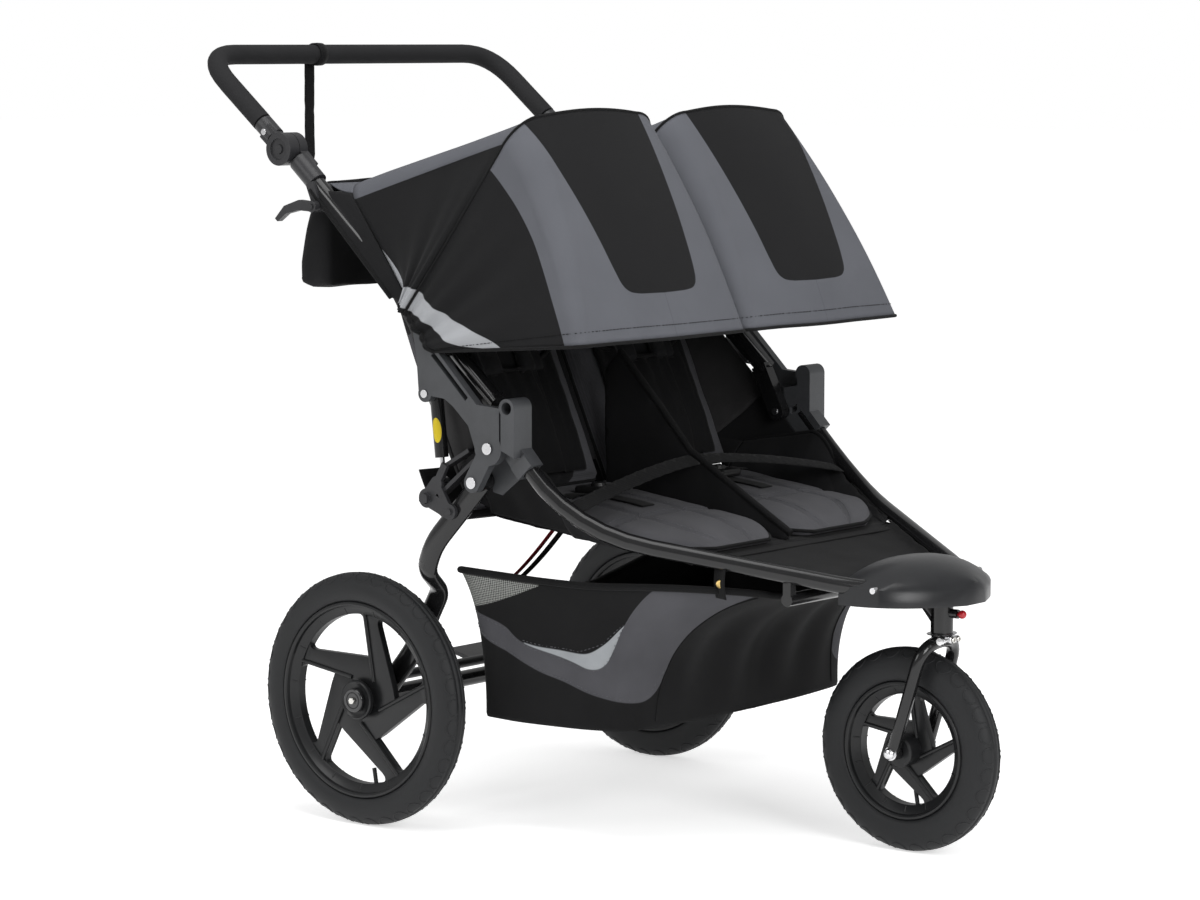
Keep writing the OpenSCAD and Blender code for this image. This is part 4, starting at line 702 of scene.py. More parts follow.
def seat_skin(u, v, sign, up, lift=0.0):
    """A point of a cushion's upper or lower skin."""
    y = SEAT_REAR - SEAT_L * v
    pull = 0.007 * sin(pi * v)
    corner = max(0.0, (v - 0.80) / 0.20) ** 2.6
    near, out = 0.014 + pull / 2 + 0.045 * corner, seat_out(y) - pull - 0.055 * corner
    full = rim_round(u, v, SEAT_W, SEAT_L)
    puff = 0.026 + 0.010 * dome(u) * dome(v) - groove(u, v) - 0.016 * max(0.0, (v - 0.8) / 0.2) ** 2
    x = near + (out - near) * u
    crease = 0.0016 * noise.noise(Vector((26 * x * sign, 20 * y, 3.0))) * full
    z = 0.010 + (puff - 0.010) * full + crease + lift if up else 0.010 * (1 - full)
    return Vector((sign * x, y + Y0, seat_base(y) + z))


def stuffed(cols, rows, span, top, low):
    """A closed pad: a grid of cloth drawn up into a second skin and seamed all round."""
    bm = cut_grid(cols, rows, span)
    drawn = bmesh.ops.extrude_face_region(bm, geom=bm.faces[:])["geom"]
    upper = {g for g in drawn if isinstance(g, bmesh.types.BMVert)}
    for vert in bm.verts:
        vert.co = (top if vert in upper else low)(vert.co.x + 0.5, vert.co.y + 0.5)
    bmesh.ops.recalc_face_normals(bm, faces=bm.faces)
    if bm.calc_volume(signed=True) < 0:
        bmesh.ops.reverse_faces(bm, faces=bm.faces)
    for face in bm.faces:
        face.smooth = True
    return bm


def rim_shares(n=40):
    """Shares round a pad's seam."""
    k = [i / n for i in range(n)]
    return ([(a, 0.0) for a in k] + [(1.0, a) for a in k] + [(1 - a, 1.0) for a in k]
            + [(0.0, 1 - a) for a in k])


def quilting(name, skin, sign, rows, gap, body):
    """Two rows of stitches along each channel of a pad."""
    lines = [[skin(k + d, i / rows, sign, True, 0.0004) for i in range(3, rows - 2)] for k in CHANNELS
             for d in (-0.03, 0.03)]
    lines += [[skin(i / 60, CROSS_CHANNEL + d, sign, True, 0.0004) for i in range(3, 58)]
              for d in (-gap, gap)]
    piping(name, [r for line in lines for r in dashes(line)], 0.0005, body, thread_grey, 1)


for side, sign in SIDES.items():
    node = "seat_bottom_" + side
    cushion = as_piece(stuffed(52, 60, (SEAT_W, SEAT_L), lambda u, v: seat_skin(u, v, sign, True),
                               lambda u, v: seat_skin(u, v, sign, False)),
                       "seat_cushion_" + side, body_with[node], pad_cloth)
    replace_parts(cushion, node)
    seam = [seat_skin(u, v, sign, False) for u, v in rim_shares()]
    piping("seat_cushion_piping_" + side, [seam], 0.0028, body_with[node], binding, closed=True)
    quilting("seat_cushion_stitch_" + side, seat_skin, sign, 60, 0.025, body_with[node])


# Seat backs: quilted pads with charcoal side bolsters, piped and black behind, hinged at the foot, each
# with a gathered pocket in front and a web of cloth between the two.
BACK_FOOT_Y, BACK_FOOT_Z, BACK_LEAN, BACK_RISE = -0.176, 0.512, 0.4067, 0.9135
BACK_IN, BACK_W, BACK_L, MIDDLE_HALF = 0.014, 0.312, 0.429, 0.088


def bolster_and_middle(add, where):
    """Black between the two side bolsters of a seat back."""
    across = add("SeparateXYZ", {0: where.outputs["UV"]}).outputs[0]
    far = calc(add, "ABSOLUTE", calc(add, "SUBTRACT", across, BACK_W / 2))
    return flip(add, band_mask(add, far, MIDDLE_HALF, 0.0008))


back_cloth = woven("seat_back_cloth", CHARCOAL, pitch=0.0021, second=BLACK, panel=bolster_and_middle,
                   sheen=0.05, relief=0.6)
pocket_mesh = woven("pocket_mesh", (0.0085, 0.0085, 0.009), pitch=0.0028, rough=0.5, relief=0.9)


def back_at(x, s, d):
    """A point s up a seat back from its hinge and d in front of it."""
    y = BACK_FOOT_Y + BACK_LEAN * s - BACK_RISE * d + Y0
    return Vector((x, y, BACK_FOOT_Z + BACK_RISE * s + BACK_LEAN * d))


def back_skin(u, v, sign, front, lift=0.0):
    """A point of a seat back's front or rear skin."""
    s = 0.011 + BACK_L * v
    taper = 0.026 * max(0.0, (v - 0.82) / 0.18) ** 2.4
    x = BACK_IN + taper + (BACK_W - 2 * taper) * u
    full = rim_round(u, v, BACK_W, BACK_L, 0.022)
    if front:
        d = 0.006 + (0.020 + 0.010 * dome(u) * dome(v) - groove(u, v)) * full
        d += 0.0018 * noise.noise(Vector((22 * x * sign, 18 * s, 8.0))) * full + lift
    else:
        d = 0.006 - (0.012 + 0.015 * (0.9 + 0.3 * dome(u)) * sin(pi * v)) * full - lift
    return back_at(sign * x, s, d)


def pocket_point(u, v, sign):
    """A pocket's slack cloth, gathered along its mouth."""
    bag = 0.010 * sin(pi * min(1.0, 0.35 + 0.65 * v)) * sin(pi * u)
    gather = 0.0025 * v * sin(2 * pi * 7 * u) + 0.002 * noise.noise(Vector((9 * u, 6 * v, sign)))
    up = 0.03 + (0.47 - 0.07 * sin(pi * u)) * v
    return back_skin(0.13 + 0.74 * u, up, sign, True, 0.004 + bag + gather)


for side, sign in SIDES.items():
    node = "seat_back_" + side
    panel = as_piece(stuffed(54, 66, (BACK_W, BACK_L), lambda u, v: back_skin(u, v, sign, True),
                             lambda u, v: back_skin(u, v, sign, False)),
                     "seat_back_pad_" + side, body_with[node], [back_cloth, cloth_black])
    for face in panel.data.polygons:
        face.material_index = 1 if face.normal.y > 0.3 else 0
    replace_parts(panel, node)
    seam = [back_skin(u, v, sign, True) for u, v in rim_shares()]
    piping("seat_back_piping_" + side, [seam], 0.0030, body_with[node], binding, closed=True)
    quilting("seat_back_stitch_" + side, back_skin, sign, 66, 0.022, body_with[node])
    roll = [(sign * (0.017 + 0.306 * t), BACK_FOOT_Y + Y0, BACK_FOOT_Z) for t in shares(12)]
    piping("seat_back_hem_" + side, [roll], 0.0088, body_with[node], pad_cloth, 4)
    slack = sheet_grid(44, 30, (0.24, 0.21), lambda u, v: pocket_point(u, v, sign), sign > 0)
    pouch = cloth_sheet(slack, "seat_pocket_" + side, body_with[node], pocket_mesh, thick=0.0012)
    mouth = [back_skin(0.13 + 0.74 * u, 0.50 - 0.07 * sin(pi * u), sign, True, 0.004 + 0.0055 * sin(pi * u))
             for u in shares(44)]
    elastic = piping("seat_pocket_elastic_" + side, [mouth], 0.0034, body_with[node], binding)

WEB_W, WEB_L = 0.026, 0.38
web_bm = sheet_grid(4, 40, (WEB_W, WEB_L), lambda u, v: back_at(WEB_W * (u - 0.5), 0.045 + WEB_L * v, 0.004))
web = as_piece(web_bm, "seat_centre_web", "upper_frame", cloth_black)
thicken(web, "cloth_thickness", 0.002)


# Harness: two webbing shoulder straps with soft pads on each seat back, a crotch strap and two hip
# straps that meet in a moulded buckle on the cushion.
webbing = woven("webbing", (0.0095, 0.0095, 0.010), pitch=0.0032, sheen=0.04, relief=0.8)
strap_pad_cloth = woven("strap_pad_cloth", (0.017, 0.017, 0.018), pitch=0.0016, sheen=0.04)
buckle_plastic = finish("buckle_plastic", (0.012, 0.012, 0.012), 0.38)
STRAP_PAD, BELT_W, BELT_THICK = (0.056, 0.163), 0.030, 0.0018


def strap_pad_skin(u, v, k, sign, top):
    """A point of a shoulder pad's upper or lower skin, over the belt at share k of the seat back."""
    a, b = k + (u - 0.5) * 0.18, 0.42 + 0.38 * v
    full = rim_round(u, v, *STRAP_PAD, 0.008)
    return back_skin(a, b, sign, True, 0.0045 + (0.0085 * full + 0.001 * sin(22 * v) * full if top else 0.0))


for side, sign in SIDES.items():
    node = "harness_" + side
    belts = []
    for k, mark in ((0.34, "inner"), (0.66, "outer")):
        way = [back_skin(k, 0.12 + 0.72 * t, sign, True, 0.0035) for t in shares(30)]
        belts.append(ribbon("harness_belt_%s_%s" % (mark, side), way, (BELT_W * sign, 0, 0), BELT_THICK,
                            body_with[node], webbing))
        pad = as_piece(stuffed(18, 40, STRAP_PAD, lambda u, v: strap_pad_skin(u, v, k, sign, True),
                               lambda u, v: strap_pad_skin(u, v, k, sign, False)),
                       "shoulder_pad_%s_%s" % (mark, side), body_with[node], strap_pad_cloth)
        seam = [strap_pad_skin(u, v, k, sign, False) for u, v in rim_shares(16)]
        piping("shoulder_pad_binding_%s_%s" % (mark, side), [seam], 0.0018, body_with[node], binding,
               closed=True)
    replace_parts(belts[0], node)
    crotch = [seat_skin(0.5, 0.56 - 0.26 * t, sign, True, 0.0025) for t in shares(16)]
    ribbon("crotch_strap_" + side, crotch, (BELT_W * sign, 0, 0), BELT_THICK, "chassis", webbing)
    for k, mark in ((0.05, "inner"), (0.95, "outer")):
        hip = [seat_skin(k + (0.5 - k) * t * 0.9, 0.16 + 0.12 * t, sign, True, 0.0025) for t in shares(18)]
        ribbon("hip_strap_%s_%s" % (mark, side), hip, (0, 0.028, 0), BELT_THICK, "chassis", webbing)
    seat_middle = seat_skin(0.5, 0.29, sign, True)
    bm = bmesh.new()
    bmesh.ops.create_cube(bm, size=1)
    bmesh.ops.scale(bm, vec=(0.052, 0.058, 0.013), verts=bm.verts)
    round_edges(bm, bm.edges[:], 0.005, 3)
    button = bmesh.ops.create_cone(bm, cap_ends=True, segments=28, radius1=0.013, radius2=0.011, depth=0.006)
    bmesh.ops.translate(bm, vec=(0, 0, 0.0085), verts=button["verts"])
    bmesh.ops.translate(bm, vec=seat_middle + Vector((0, 0, 0.008)), verts=bm.verts)
    as_piece(bm, "harness_buckle_" + side, "chassis", buckle_plastic)


# Centre divider and cross webbing: a black cloth wall between the two seats, bound at its edge, the
# belt that braces it out to the side tubes, and a tape under the seam of sling and footwell mat.
divider = cloth_copy("seat_divider", "seat_divider_cloth", cloth_black, easing=1, crease=0.0018)
cross_belt = cloth_copy("seat_webbing", "seat_webbing_belt", webbing, easing=1, crease=0.0004)
tape = [(0.560 * (t - 0.5), -0.2745, 0.4525) for t in shares(40)]
ribbon("footwell_seam_tape", tape, (0, 0.036, 0.006), BELT_THICK, "chassis", webbing)
EDGE = [(-0.218, 0.733), (-0.300, 0.648), (-0.358, 0.583), (-0.460, 0.522), (-0.554, 0.467)]
piping("seat_divider_binding", [[(0, y + Y0, z) for y, z in EDGE]], 0.0055, "chassis", binding)


# Side walls: black cloth that closes each seat in, hung from the side tube down to the cushion, with a
# charcoal wing from the upper tube to the edge of the seat back and a black gusset between the two.
WALL_REAR, WALL_L, BRACKET_Y = -0.205, 0.345, -0.340
ELBOW_Z, REAR_SLOPE, NOSE_DROP = 0.495, 1.06, 0.077


def tube_line(y):
    """Where the side tube runs ahead of the main bracket: how far out, and how high."""
    f = (ELBOW_Y - y) / NOSE_RUN
    out, high = TUBE_OUT - NOSE_IN * max(0.0, f), ELBOW_Z - NOSE_DROP * f
    if f < 0:
        high = ELBOW_Z + REAR_SLOPE * (y - ELBOW_Y)
    ease = max(0.0, 1 - abs(y + 0.430) / 0.095) ** 2
    return out - 0.010 * ease, high + 0.016 * ease


def side_wall(u, v, sign):
    """A point of a side wall: u forwards along the tube, v down to the cushion."""
    y = WALL_REAR - WALL_L * u
    if y > BRACKET_Y:
        f = (WALL_REAR - y) / (WALL_REAR - BRACKET_Y)
        out, high = 0.350 + 0.010 * f, 0.560 + 0.022 * f
    else:
        out, high = tube_line(y)
        blend = min(1.0, (BRACKET_Y - y) / 0.05)
        out = 0.358 - (0.358 - out + 0.0135) * blend
        high = 0.582 + (high - 0.003 - 0.582) * blend
    top, low = Vector((out, y, high)), Vector((seat_out(y) + 0.004, y, seat_base(y) + 0.003))
    p = top.lerp(low, v)
    p.x -= 0.010 * sin(pi * v) * (1 - u) - 0.002 * sin(2 * pi * 5 * u) * sin(pi * v)
    return Vector((sign * p.x, p.y + Y0, p.z))


wing_cloth = woven("wing_cloth", (0.034, 0.033, 0.034), pitch=0.0021, sheen=0.05, relief=0.6)
for side, sign in SIDES.items():
    wall = cloth_sheet(sheet_grid(60, 16, (0.36, 0.10), lambda u, v: side_wall(u, v, sign), sign > 0),
                       "seat_side_wall_" + side, "chassis", cloth_black)
    bound = [side_wall(u, 0.0, sign) for u in shares(60)]
    top_edge = piping("seat_side_binding_" + side, [bound], 0.0032, "chassis", binding)

    def wing_point(u, v):
        post = Vector((sign * 0.352, -0.250 + 0.300 * u + Y0, 0.646 + 0.292 * u))
        edge = back_skin(1.0, 0.10 + 0.86 * u, sign, True)
        p = post.lerp(edge, v)
        p.x += sign * 0.006 * sin(pi * v)
        return p + 0.0025 * noise.noise_vector(p * 20) * sin(pi * v)

    across = ("upper_frame", "recliner_" + side, wing_point(0.5, 0.02), wing_point(0.5, 0.98))
    wing = as_piece(sheet_grid(40, 18, (0.40, 0.10), wing_point, sign > 0), "seat_wing_" + side, across,
                    wing_cloth)
    thicken(wing, "cloth_thickness", 0.002)

    def gusset_point(u, v):
        if u < 0.6:
            low, high = side_wall(0.30 - 0.50 * u, 0.0, sign), wing_point(0.0, u / 0.6)
        else:
            low, high = side_wall(0.0, 2.2 * (u - 0.6), sign), back_skin(1.0, 0.25 * (1 - u), sign, True)
        return low.lerp(high, v)

    gusset = cloth_sheet(sheet_grid(40, 18, (0.20, 0.08), gusset_point, sign < 0), "seat_gusset_" + side,
                         "chassis", cloth_black)


# Cargo basket: a slung bag of black cloth with a grey sweep, a silver panel and a net drawn on its rear
# corner, bound at the rim and snapped to the frame.
RIM = [(0, 0, -0.3), (1, 0, 0), (1, 0.29, -0.02), (1, 0.5, -0.02), (0.88, 0.72, 0), (0.71, 0.88, -0.02),
       (0.4, 0.93, -0.1), (0, 0.94, -0.12)]
FLOOR = [(0, 0.05, 0.01), (0.9, 0.055, 0.01), (0.905, 0.2, 0), (0.9, 0.42, 0.01), (0.87, 0.54, 0.02),
         (0.78, 0.59, 0.03), (0.4, 0.615, 0.03), (0, 0.62, 0.03)]
STOPS = [0.0, 0.3081, 0.4559, 0.5629, 0.6809, 0.7778, 0.8766, 1.0]
BASKET_SPAN = (2.3, 0.46)
WALL_SHARE = 0.72


def round_the_basket(h, deep):
    """Shares of the bag's width, length and rise at h, from mid back to mid front."""
    turn = -1 if h < 0 or h > 1 else 1
    h = abs(h) if h < 1 else 2 - h
    i = max(k for k in range(len(STOPS) - 1) if STOPS[k] <= h)
    f = (h - STOPS[i]) / (STOPS[i + 1] - STOPS[i])
    rim, low = (Vector(ring[i]).lerp(Vector(ring[i + 1]), f) for ring in (RIM, FLOOR))
    p = rim.lerp(low, deep)
    return Vector((turn * p.x, p.y, p.z))


def basket_point(s, t, lift=0.0):
    """The bag's cloth: s runs once round it from mid back, t down the wall and in over the floor."""
    sign, h = (-1, 2 * s) if s < 0.5 else (1, 2 - 2 * s)
    level = min(1.0, t / WALL_SHARE)
    deep = 1 - (1 - level) ** 3
    p = sum((round_the_basket(h + d, deep) for d in (-0.03, -0.015, 0, 0.015, 0.03)), Vector()) / 5
    x = p.x * (0.329 + 0.007 * sin(pi * level) * (1 - level) + lift)
    q = Vector((sign * x, -0.146 - 0.544 * p.y + Y0, 0.413 - 0.225 * level + 0.225 * p.z))
    q.z -= 0.009 * level ** 2
    slack = 0.004 * sin(pi * level)
    q += slack * noise.noise_vector(Vector((9 * q.x, 11 * q.y, 5 * q.z)))
    q.x += sign * 0.0022 * sin(2 * pi * 9 * h) * sin(pi * level) * abs(p.x)
    q.y -= 0.006 * max(0.0, min(1.0, (h - 0.80) / 0.04)) * sin(pi * level) * sin(2 * pi * (h - 0.80) / 0.11)
    if t > WALL_SHARE:
        k = (t - WALL_SHARE) / (1 - WALL_SHARE)
        q.x *= 1 - k
        q.z += 0.003 * noise.noise(Vector((14 * q.x, 14 * q.y, 2.0))) * k
    return q


def basket_panels(add, where):
    """How far round and how far down the bag a point is, the same on both sides."""
    spot = add("SeparateXYZ", {0: where.outputs["UV"]})
    far = calc(add, "ABSOLUTE", calc(add, "SUBTRACT", spot.outputs[0], BASKET_SPAN[0] / 2))
    h = add("MapRange", {"Value": far, "From Min": BASKET_SPAN[0] / 2, "From Max": 0.0}).outputs[0]
    return h, calc(add, "MULTIPLY", spot.outputs[1], 1 / (BASKET_SPAN[1] * WALL_SHARE))


def below(add, h, level, points):
    """1 below a line drawn round the bag."""
    low, high = points[0][0], points[-1][0]
    drawn = line_of(add, h, low, high, [((a - low) / (high - low), b) for a, b in points])
    return band_mask(add, calc(add, "SUBTRACT", level, drawn), 0.0, 0.004)


def all_of(add, *masks):
    whole = masks[0]
    for mask in masks[1:]:
        whole = calc(add, "MULTIPLY", whole, mask)
    return whole


SWEEP_TOP = [(0.27, 0.25), (0.34, 0.30), (0.405, 0.367), (0.45, 0.45), (0.495, 0.50), (0.555, 0.567),
             (0.60, 0.60), (0.625, 0.583), (0.65, 0.48), (0.66, 0.26), (0.668, -0.05), (0.80, -0.05),
             (0.84, -0.05)]
SWEEP_LOW = [(0.27, 0.33), (0.36, 0.483), (0.46, 0.60), (0.515, 0.683), (0.595, 0.767), (0.705, 0.817),
             (0.75, 0.825), (0.785, 0.80), (0.81, 0.62), (0.815, 0.33), (0.82, 0.13), (0.83, -0.06),
             (0.84, -0.06)]
SILVER_TOP = [(0.46, 0.46), (0.505, 0.483), (0.565, 0.50), (0.62, 0.433), (0.668, 0.25)]
NET_LOW = [(0.30, 0.26), (0.34, 0.25), (0.42, 0.15), (0.475, 0.04)]


def stretch(add, h, start, end):
    """1 between two places round the bag."""
    return all_of(add, band_mask(add, h, start, 0.002), flip(add, band_mask(add, h, end, 0.002)))


def grey_sweep(add, where):
    h, level = basket_panels(add, where)
    return all_of(add, below(add, h, level, SWEEP_TOP), flip(add, below(add, h, level, SWEEP_LOW)),
                  stretch(add, h, 0.272, 0.835))


def silver_panel(add, where):
    h, level = basket_panels(add, where)
    return all_of(add, below(add, h, level, SILVER_TOP), flip(add, below(add, h, level, SWEEP_TOP)),
                  stretch(add, h, 0.462, 0.664))


def mesh_corner(add, where):
    h, level = basket_panels(add, where)
    corner = all_of(add, flip(add, below(add, h, level, NET_LOW)), stretch(add, h, 0.302, 0.473),
                    band_mask(add, level, 0.03, 0.002))
    holes = add("TexVoronoi", {"Vector": where.outputs["UV"], "Scale": 230.0, "Randomness": 0.1})
    return all_of(add, corner, flip(add, band_mask(add, holes.outputs["Distance"], 0.42, 0.1)))


basket_cloth = woven("basket_cloth", (0.0105, 0.0105, 0.011), second=(0.090, 0.090, 0.099), panel=grey_sweep,
                     accents=[((0.40, 0.42, 0.44), silver_panel), ((0.40, 0.41, 0.39), mesh_corner)])
bag_bm = sheet_grid(220, 54, BASKET_SPAN, basket_point)
bmesh.ops.remove_doubles(bag_bm, verts=bag_bm.verts, dist=1e-5)
bmesh.ops.recalc_face_normals(bag_bm, faces=bag_bm.faces)
if sum(f.normal.z for f in bag_bm.faces if f.calc_center_median().z < 0.2) > 0:
    bmesh.ops.reverse_faces(bag_bm, faces=bag_bm.faces)
bag_body = body_with["basket"]
bag = cloth_sheet(bag_bm, "basket_bag", bag_body, basket_cloth, node="basket", thick=0.0020)
rim_way = [basket_point(i / 200, 0.0) for i in range(200)]
bag_trim = [piping("basket_rim_binding", [rim_way], 0.0055, bag_body, binding, closed=True)]


def sewn_line(points, sign, drop=0.0, lift=0.0006):
    """Points on the bag along a line of shares round it and down its wall."""
    way = []
    for (h, level), (h_next, level_next) in zip(points, points[1:]):
        for k in range(12):
            at = max(0.01, level + (level_next - level) * k / 12 + drop)
            far = (h + (h_next - h) * k / 12) / 2
            way.append(basket_point(far if sign < 0 else 1 - far, at * WALL_SHARE, lift))
    return way


CORNER_SEAM = [(0.832, 0.0), (0.822, 0.13), (0.816, 0.33), (0.811, 0.62), (0.802, 0.80), (0.796, 0.97)]
for side, sign in SIDES.items():
    sewn = [sewn_line(SWEEP_TOP[:-3], sign, 0.014), sewn_line(SWEEP_LOW[:-4], sign, -0.014),
            sewn_line(SILVER_TOP, sign, -0.014)]
    bag_trim.append(piping("basket_stitch_" + side, [run for line in sewn for run in dashes(line)], 0.0005,
                           bag_body, thread_grey, 1))
    bag_trim.append(piping("basket_corner_welt_" + side, [sewn_line(CORNER_SEAM, sign)], 0.0018, bag_body,
                           binding))
for piece in [bag] + bag_trim:
    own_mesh(piece)

brass = finish("brass_snap", (0.60, 0.43, 0.16), 0.3, metal=1.0, spread=0.15, grain=(800, 0.15, 0.0002))
for side, sign in SIDES.items():
    hang = [(sign * (0.2495 + 0.004 * sin(pi * t)), -0.606 + Y0 + 0.002 * t, 0.398 + 0.046 * t)
            for t in shares(8)]
    ribbon("basket_tab_" + side, hang, (0.010 * sign, -0.026, 0), 0.0022, "chassis", webbing)
    bm = bmesh.new()
    bmesh.ops.create_cone(bm, cap_ends=True, segments=28, radius1=0.0068, radius2=0.0055, depth=0.0024)
    top = [f for f in bm.faces if f.normal.z > 0.9]
    bmesh.ops.inset_individual(bm, faces=top, thickness=0.0022, depth=-0.0008)
    bmesh.ops.rotate(bm, matrix=Matrix.Rotation(pi / 2, 3, "X"), verts=bm.verts)
    bmesh.ops.rotate(bm, matrix=Matrix.Rotation(sign * radians(69), 3, "Z"), verts=bm.verts)
    bmesh.ops.translate(bm, vec=(sign * 0.2555, -0.608 + Y0, 0.421), verts=bm.verts)
    as_piece(bm, "basket_snap_" + side, "chassis", brass)


# Fold straps: a red pull strap and a black tether of sewn webbing, side by side, that run from the
# sling down to the back of the basket.
strap_red = woven("red_webbing", (0.21, 0.008, 0.014), pitch=0.003, relief=0.7)
for mark, shade, slot, x, wide in (("red", strap_red, "red", -0.262, 0.011),
                                   ("black", webbing, "cloth_black", -0.236, 0.016)):
    way = [Vector((x, -0.300 + 0.142 * t + Y0, 0.484 - 0.126 * t - 0.010 * sin(pi * t))) for t in shares(14)]
    ribbon("fold_strap_" + mark, way, (wide, 0, 0), BELT_THICK, "chassis", shade)


# Rear pocket: a wide, slack cloth pocket slung behind the seats under the push bar.
pocket = cloth_copy("rear_pocket", "rear_pocket_cloth", cloth_black, easing=4, crease=0.004, fine=15.0)
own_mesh(pocket)


# Push-bar grip and wrist strap: a closed-cell foam sleeve over the bent tube, and a webbing loop that
# hangs from it.
foam = finish("grip_foam", (0.021, 0.021, 0.022), 0.8, spread=0.2, grain=(420, 0.5, 0.0006), shine=0.12)
softened("handlebar_grip", foam, sharp=60)
wrist = cloth_copy("wrist_strap", "wrist_strap_webbing", webbing, size=0.012, easing=1, crease=0.0006)


# Shock badges: a thin yellow oval wrapped round the outer side of each damper body, left plain and
# set along the damper.
yellow = finish("yellow_badge", (0.62, 0.47, 0.01), 0.4, spread=0.06, grain=(900, 0.1, 0.0002))
DAMPER_R, BADGE_HALF = 0.0109, 0.019
axis = (Vector((0, -0.155, 0.689)) - Vector((0, -0.170, 0.552))).normalized()
fore = Vector((0, -axis.z, axis.y))
for side, sign in SIDES.items():
    bm = bmesh.new()
    bmesh.ops.create_grid(bm, x_segments=14, y_segments=18, size=1.0)
    for vert in bm.verts:
        a, b = vert.co.x * sqrt(1 - vert.co.y ** 2 / 2), vert.co.y * sqrt(1 - vert.co.x ** 2 / 2)
        turn = 0.25 + 0.72 * a
        vert.co = (Vector((sign * (0.373 + DAMPER_R * cos(turn)), -0.1615 + Y0, 0.632))
                   + fore * DAMPER_R * sin(turn) + axis * BADGE_HALF * b)
    bmesh.ops.recalc_face_normals(bm, faces=bm.faces)
    if sum(f.normal.x for f in bm.faces) * sign < 0:
        bmesh.ops.reverse_faces(bm, faces=bm.faces)
    badge = as_piece(bm, "shock_badge_" + side, body_with["shock_body_" + side], yellow)
    thicken(badge, "badge_thickness", 0.0006, -1)


# Tyres: black rubber air tyres, turned from one section, with a grooved centre band and raised C-shaped
# loops on both shoulders.
rubber = finish("tyre_rubber", (0.015, 0.0155, 0.0165), 0.55, spread=0.22, grain=(260, 0.35, 0.0006),
                shine=0.25)
TRACK_HALF, REAR_R, FRONT_R = 0.368, 0.199, 0.156
FRONT_HUB = Vector((0.0, -0.778, FRONT_R)) + Vector((0, Y0, 0))
REAR_HUBS = {side: Vector((sign * TRACK_HALF, Y0, REAR_R)) for side, sign in SIDES.items()}
# each tyre's hub, outer radius, half width and the radius of its seat on the rim
WHEELS = {"rear_tyre_right": (REAR_HUBS["right"], REAR_R, 0.024, 0.15595),
          "rear_tyre_left": (REAR_HUBS["left"], REAR_R, 0.024, 0.15595),
          "front_tyre": (FRONT_HUB, FRONT_R, 0.027, 0.10695)}
# half of the section as shares: how far from seat to tread, and how far out to the side
SECTION = [(0.0, 0.85), (0.09, 0.94), (0.33, 1.0), (0.56, 0.967), (0.74, 0.85), (0.872, 0.67), (0.95, 0.44),
           (0.985, 0.27), (0.955, 0.245), (0.955, 0.175), (0.99, 0.15), (1.0, 0.0)]


def tread_at(x, radius, half_w, seat):
    """The tyre's radius at a distance from its middle."""
    share = abs(x) / half_w
    for (r1, x1), (r2, x2) in zip(SECTION[4:], SECTION[5:]):
        if x2 <= share <= x1:
            return seat + (radius - seat) * (r1 + (r2 - r1) * (x1 - share) / (x1 - x2))
    return seat + (radius - seat) * 0.74


def spun(bm, section, centre, steps, axis=(1, 0, 0), closed=True):
    """Turns a section of distances along and out from an axis, a closed ring or a line from pole to pole."""
    outward = Vector((1, 0, 0)) if axis[2] else Vector((0, 0, 1))
    ring = [bm.verts.new(centre + along * Vector(axis) + out * outward) for along, out in section]
    edges = [bm.edges.new(pair) for pair in zip(ring, ring[1:] + ring[:1] if closed else ring[1:])]
    bmesh.ops.spin(bm, geom=ring + edges, axis=axis, cent=centre, dvec=(0, 0, 0), angle=2 * pi, steps=steps,
                   use_merge=True)


def joined(bm):
    """Closes the seam that spinning leaves, with the faces outward."""
    bmesh.ops.remove_doubles(bm, verts=bm.verts, dist=1e-6)
    bmesh.ops.recalc_face_normals(bm, faces=bm.faces)


for node, (hub, radius, half_w, seat) in WHEELS.items():
    bm = bmesh.new()
    section = SECTION + [(r, -x) for r, x in reversed(SECTION[:-1])]
    spun(bm, [(x * half_w, seat + (radius - seat) * r) for r, x in section], hub, 150)
    joined(bm)
    for face in bm.faces:
        face.smooth = True
    loops = round(2 * pi * radius / 0.033)
    runs = []
    for side in (-1, 1):
        for i in range(loops):
            mid = 2 * pi * (i + 0.25 * side) / loops
            loop = []
            for k in shares(12):
                turn = -0.75 * pi + 1.5 * pi * k
                x = half_w * (0.56 + 0.29 * cos(turn))
                a = mid + 0.40 * 2 * pi / loops * sin(turn)
                r = tread_at(x, radius, half_w, seat) - 0.0004
                loop.append(hub + Vector((side * x, r * sin(a), r * cos(a))))
            runs.append(loop)
    run_mesh(bm, runs, 0.0012, 1)
    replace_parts(as_piece(bm, node + "_tread", body_with[node], rubber), node)


# Wheels: moulded black nylon, five broad blades set like a pinwheel, each with a raised rib on one edge,
# a deep barrel with rolled lips, and a valve that comes in through it.
wheel_nylon = finish("wheel_nylon", (0.0105, 0.0108, 0.0115), 0.34, spread=0.15, grain=(520, 0.18, 0.0004),
                     shine=0.3)
bright_bolt = finish("bright_bolt", (0.62, 0.61, 0.58), 0.28, metal=1.0, spread=0.1,
                     grain=(700, 0.15, 0.0002))
BLADES, BLADE_THICK, TEETH, CLIPS = 5, 0.012, 16, 15
BLADE = [(0.998, -0.055), (0.966, 0.005), (0.925, 0.032), (0.88, 0.050), (0.206, 0.165), (0, 0),
         (-0.09, 0.25), (0.03, 0.5), (0.16, 0.47), (0.86, 0.245), (0.905, 0.240), (0.938, 0.256),
         (0.952, 0.305)]


def about_axle(hub, turn, a, b, x):
    """A point of a blade: a out from the axle, b across it, x along the axle."""
    return hub + Vector((x, a * sin(turn) + b * cos(turn), b * sin(turn) - a * cos(turn)))


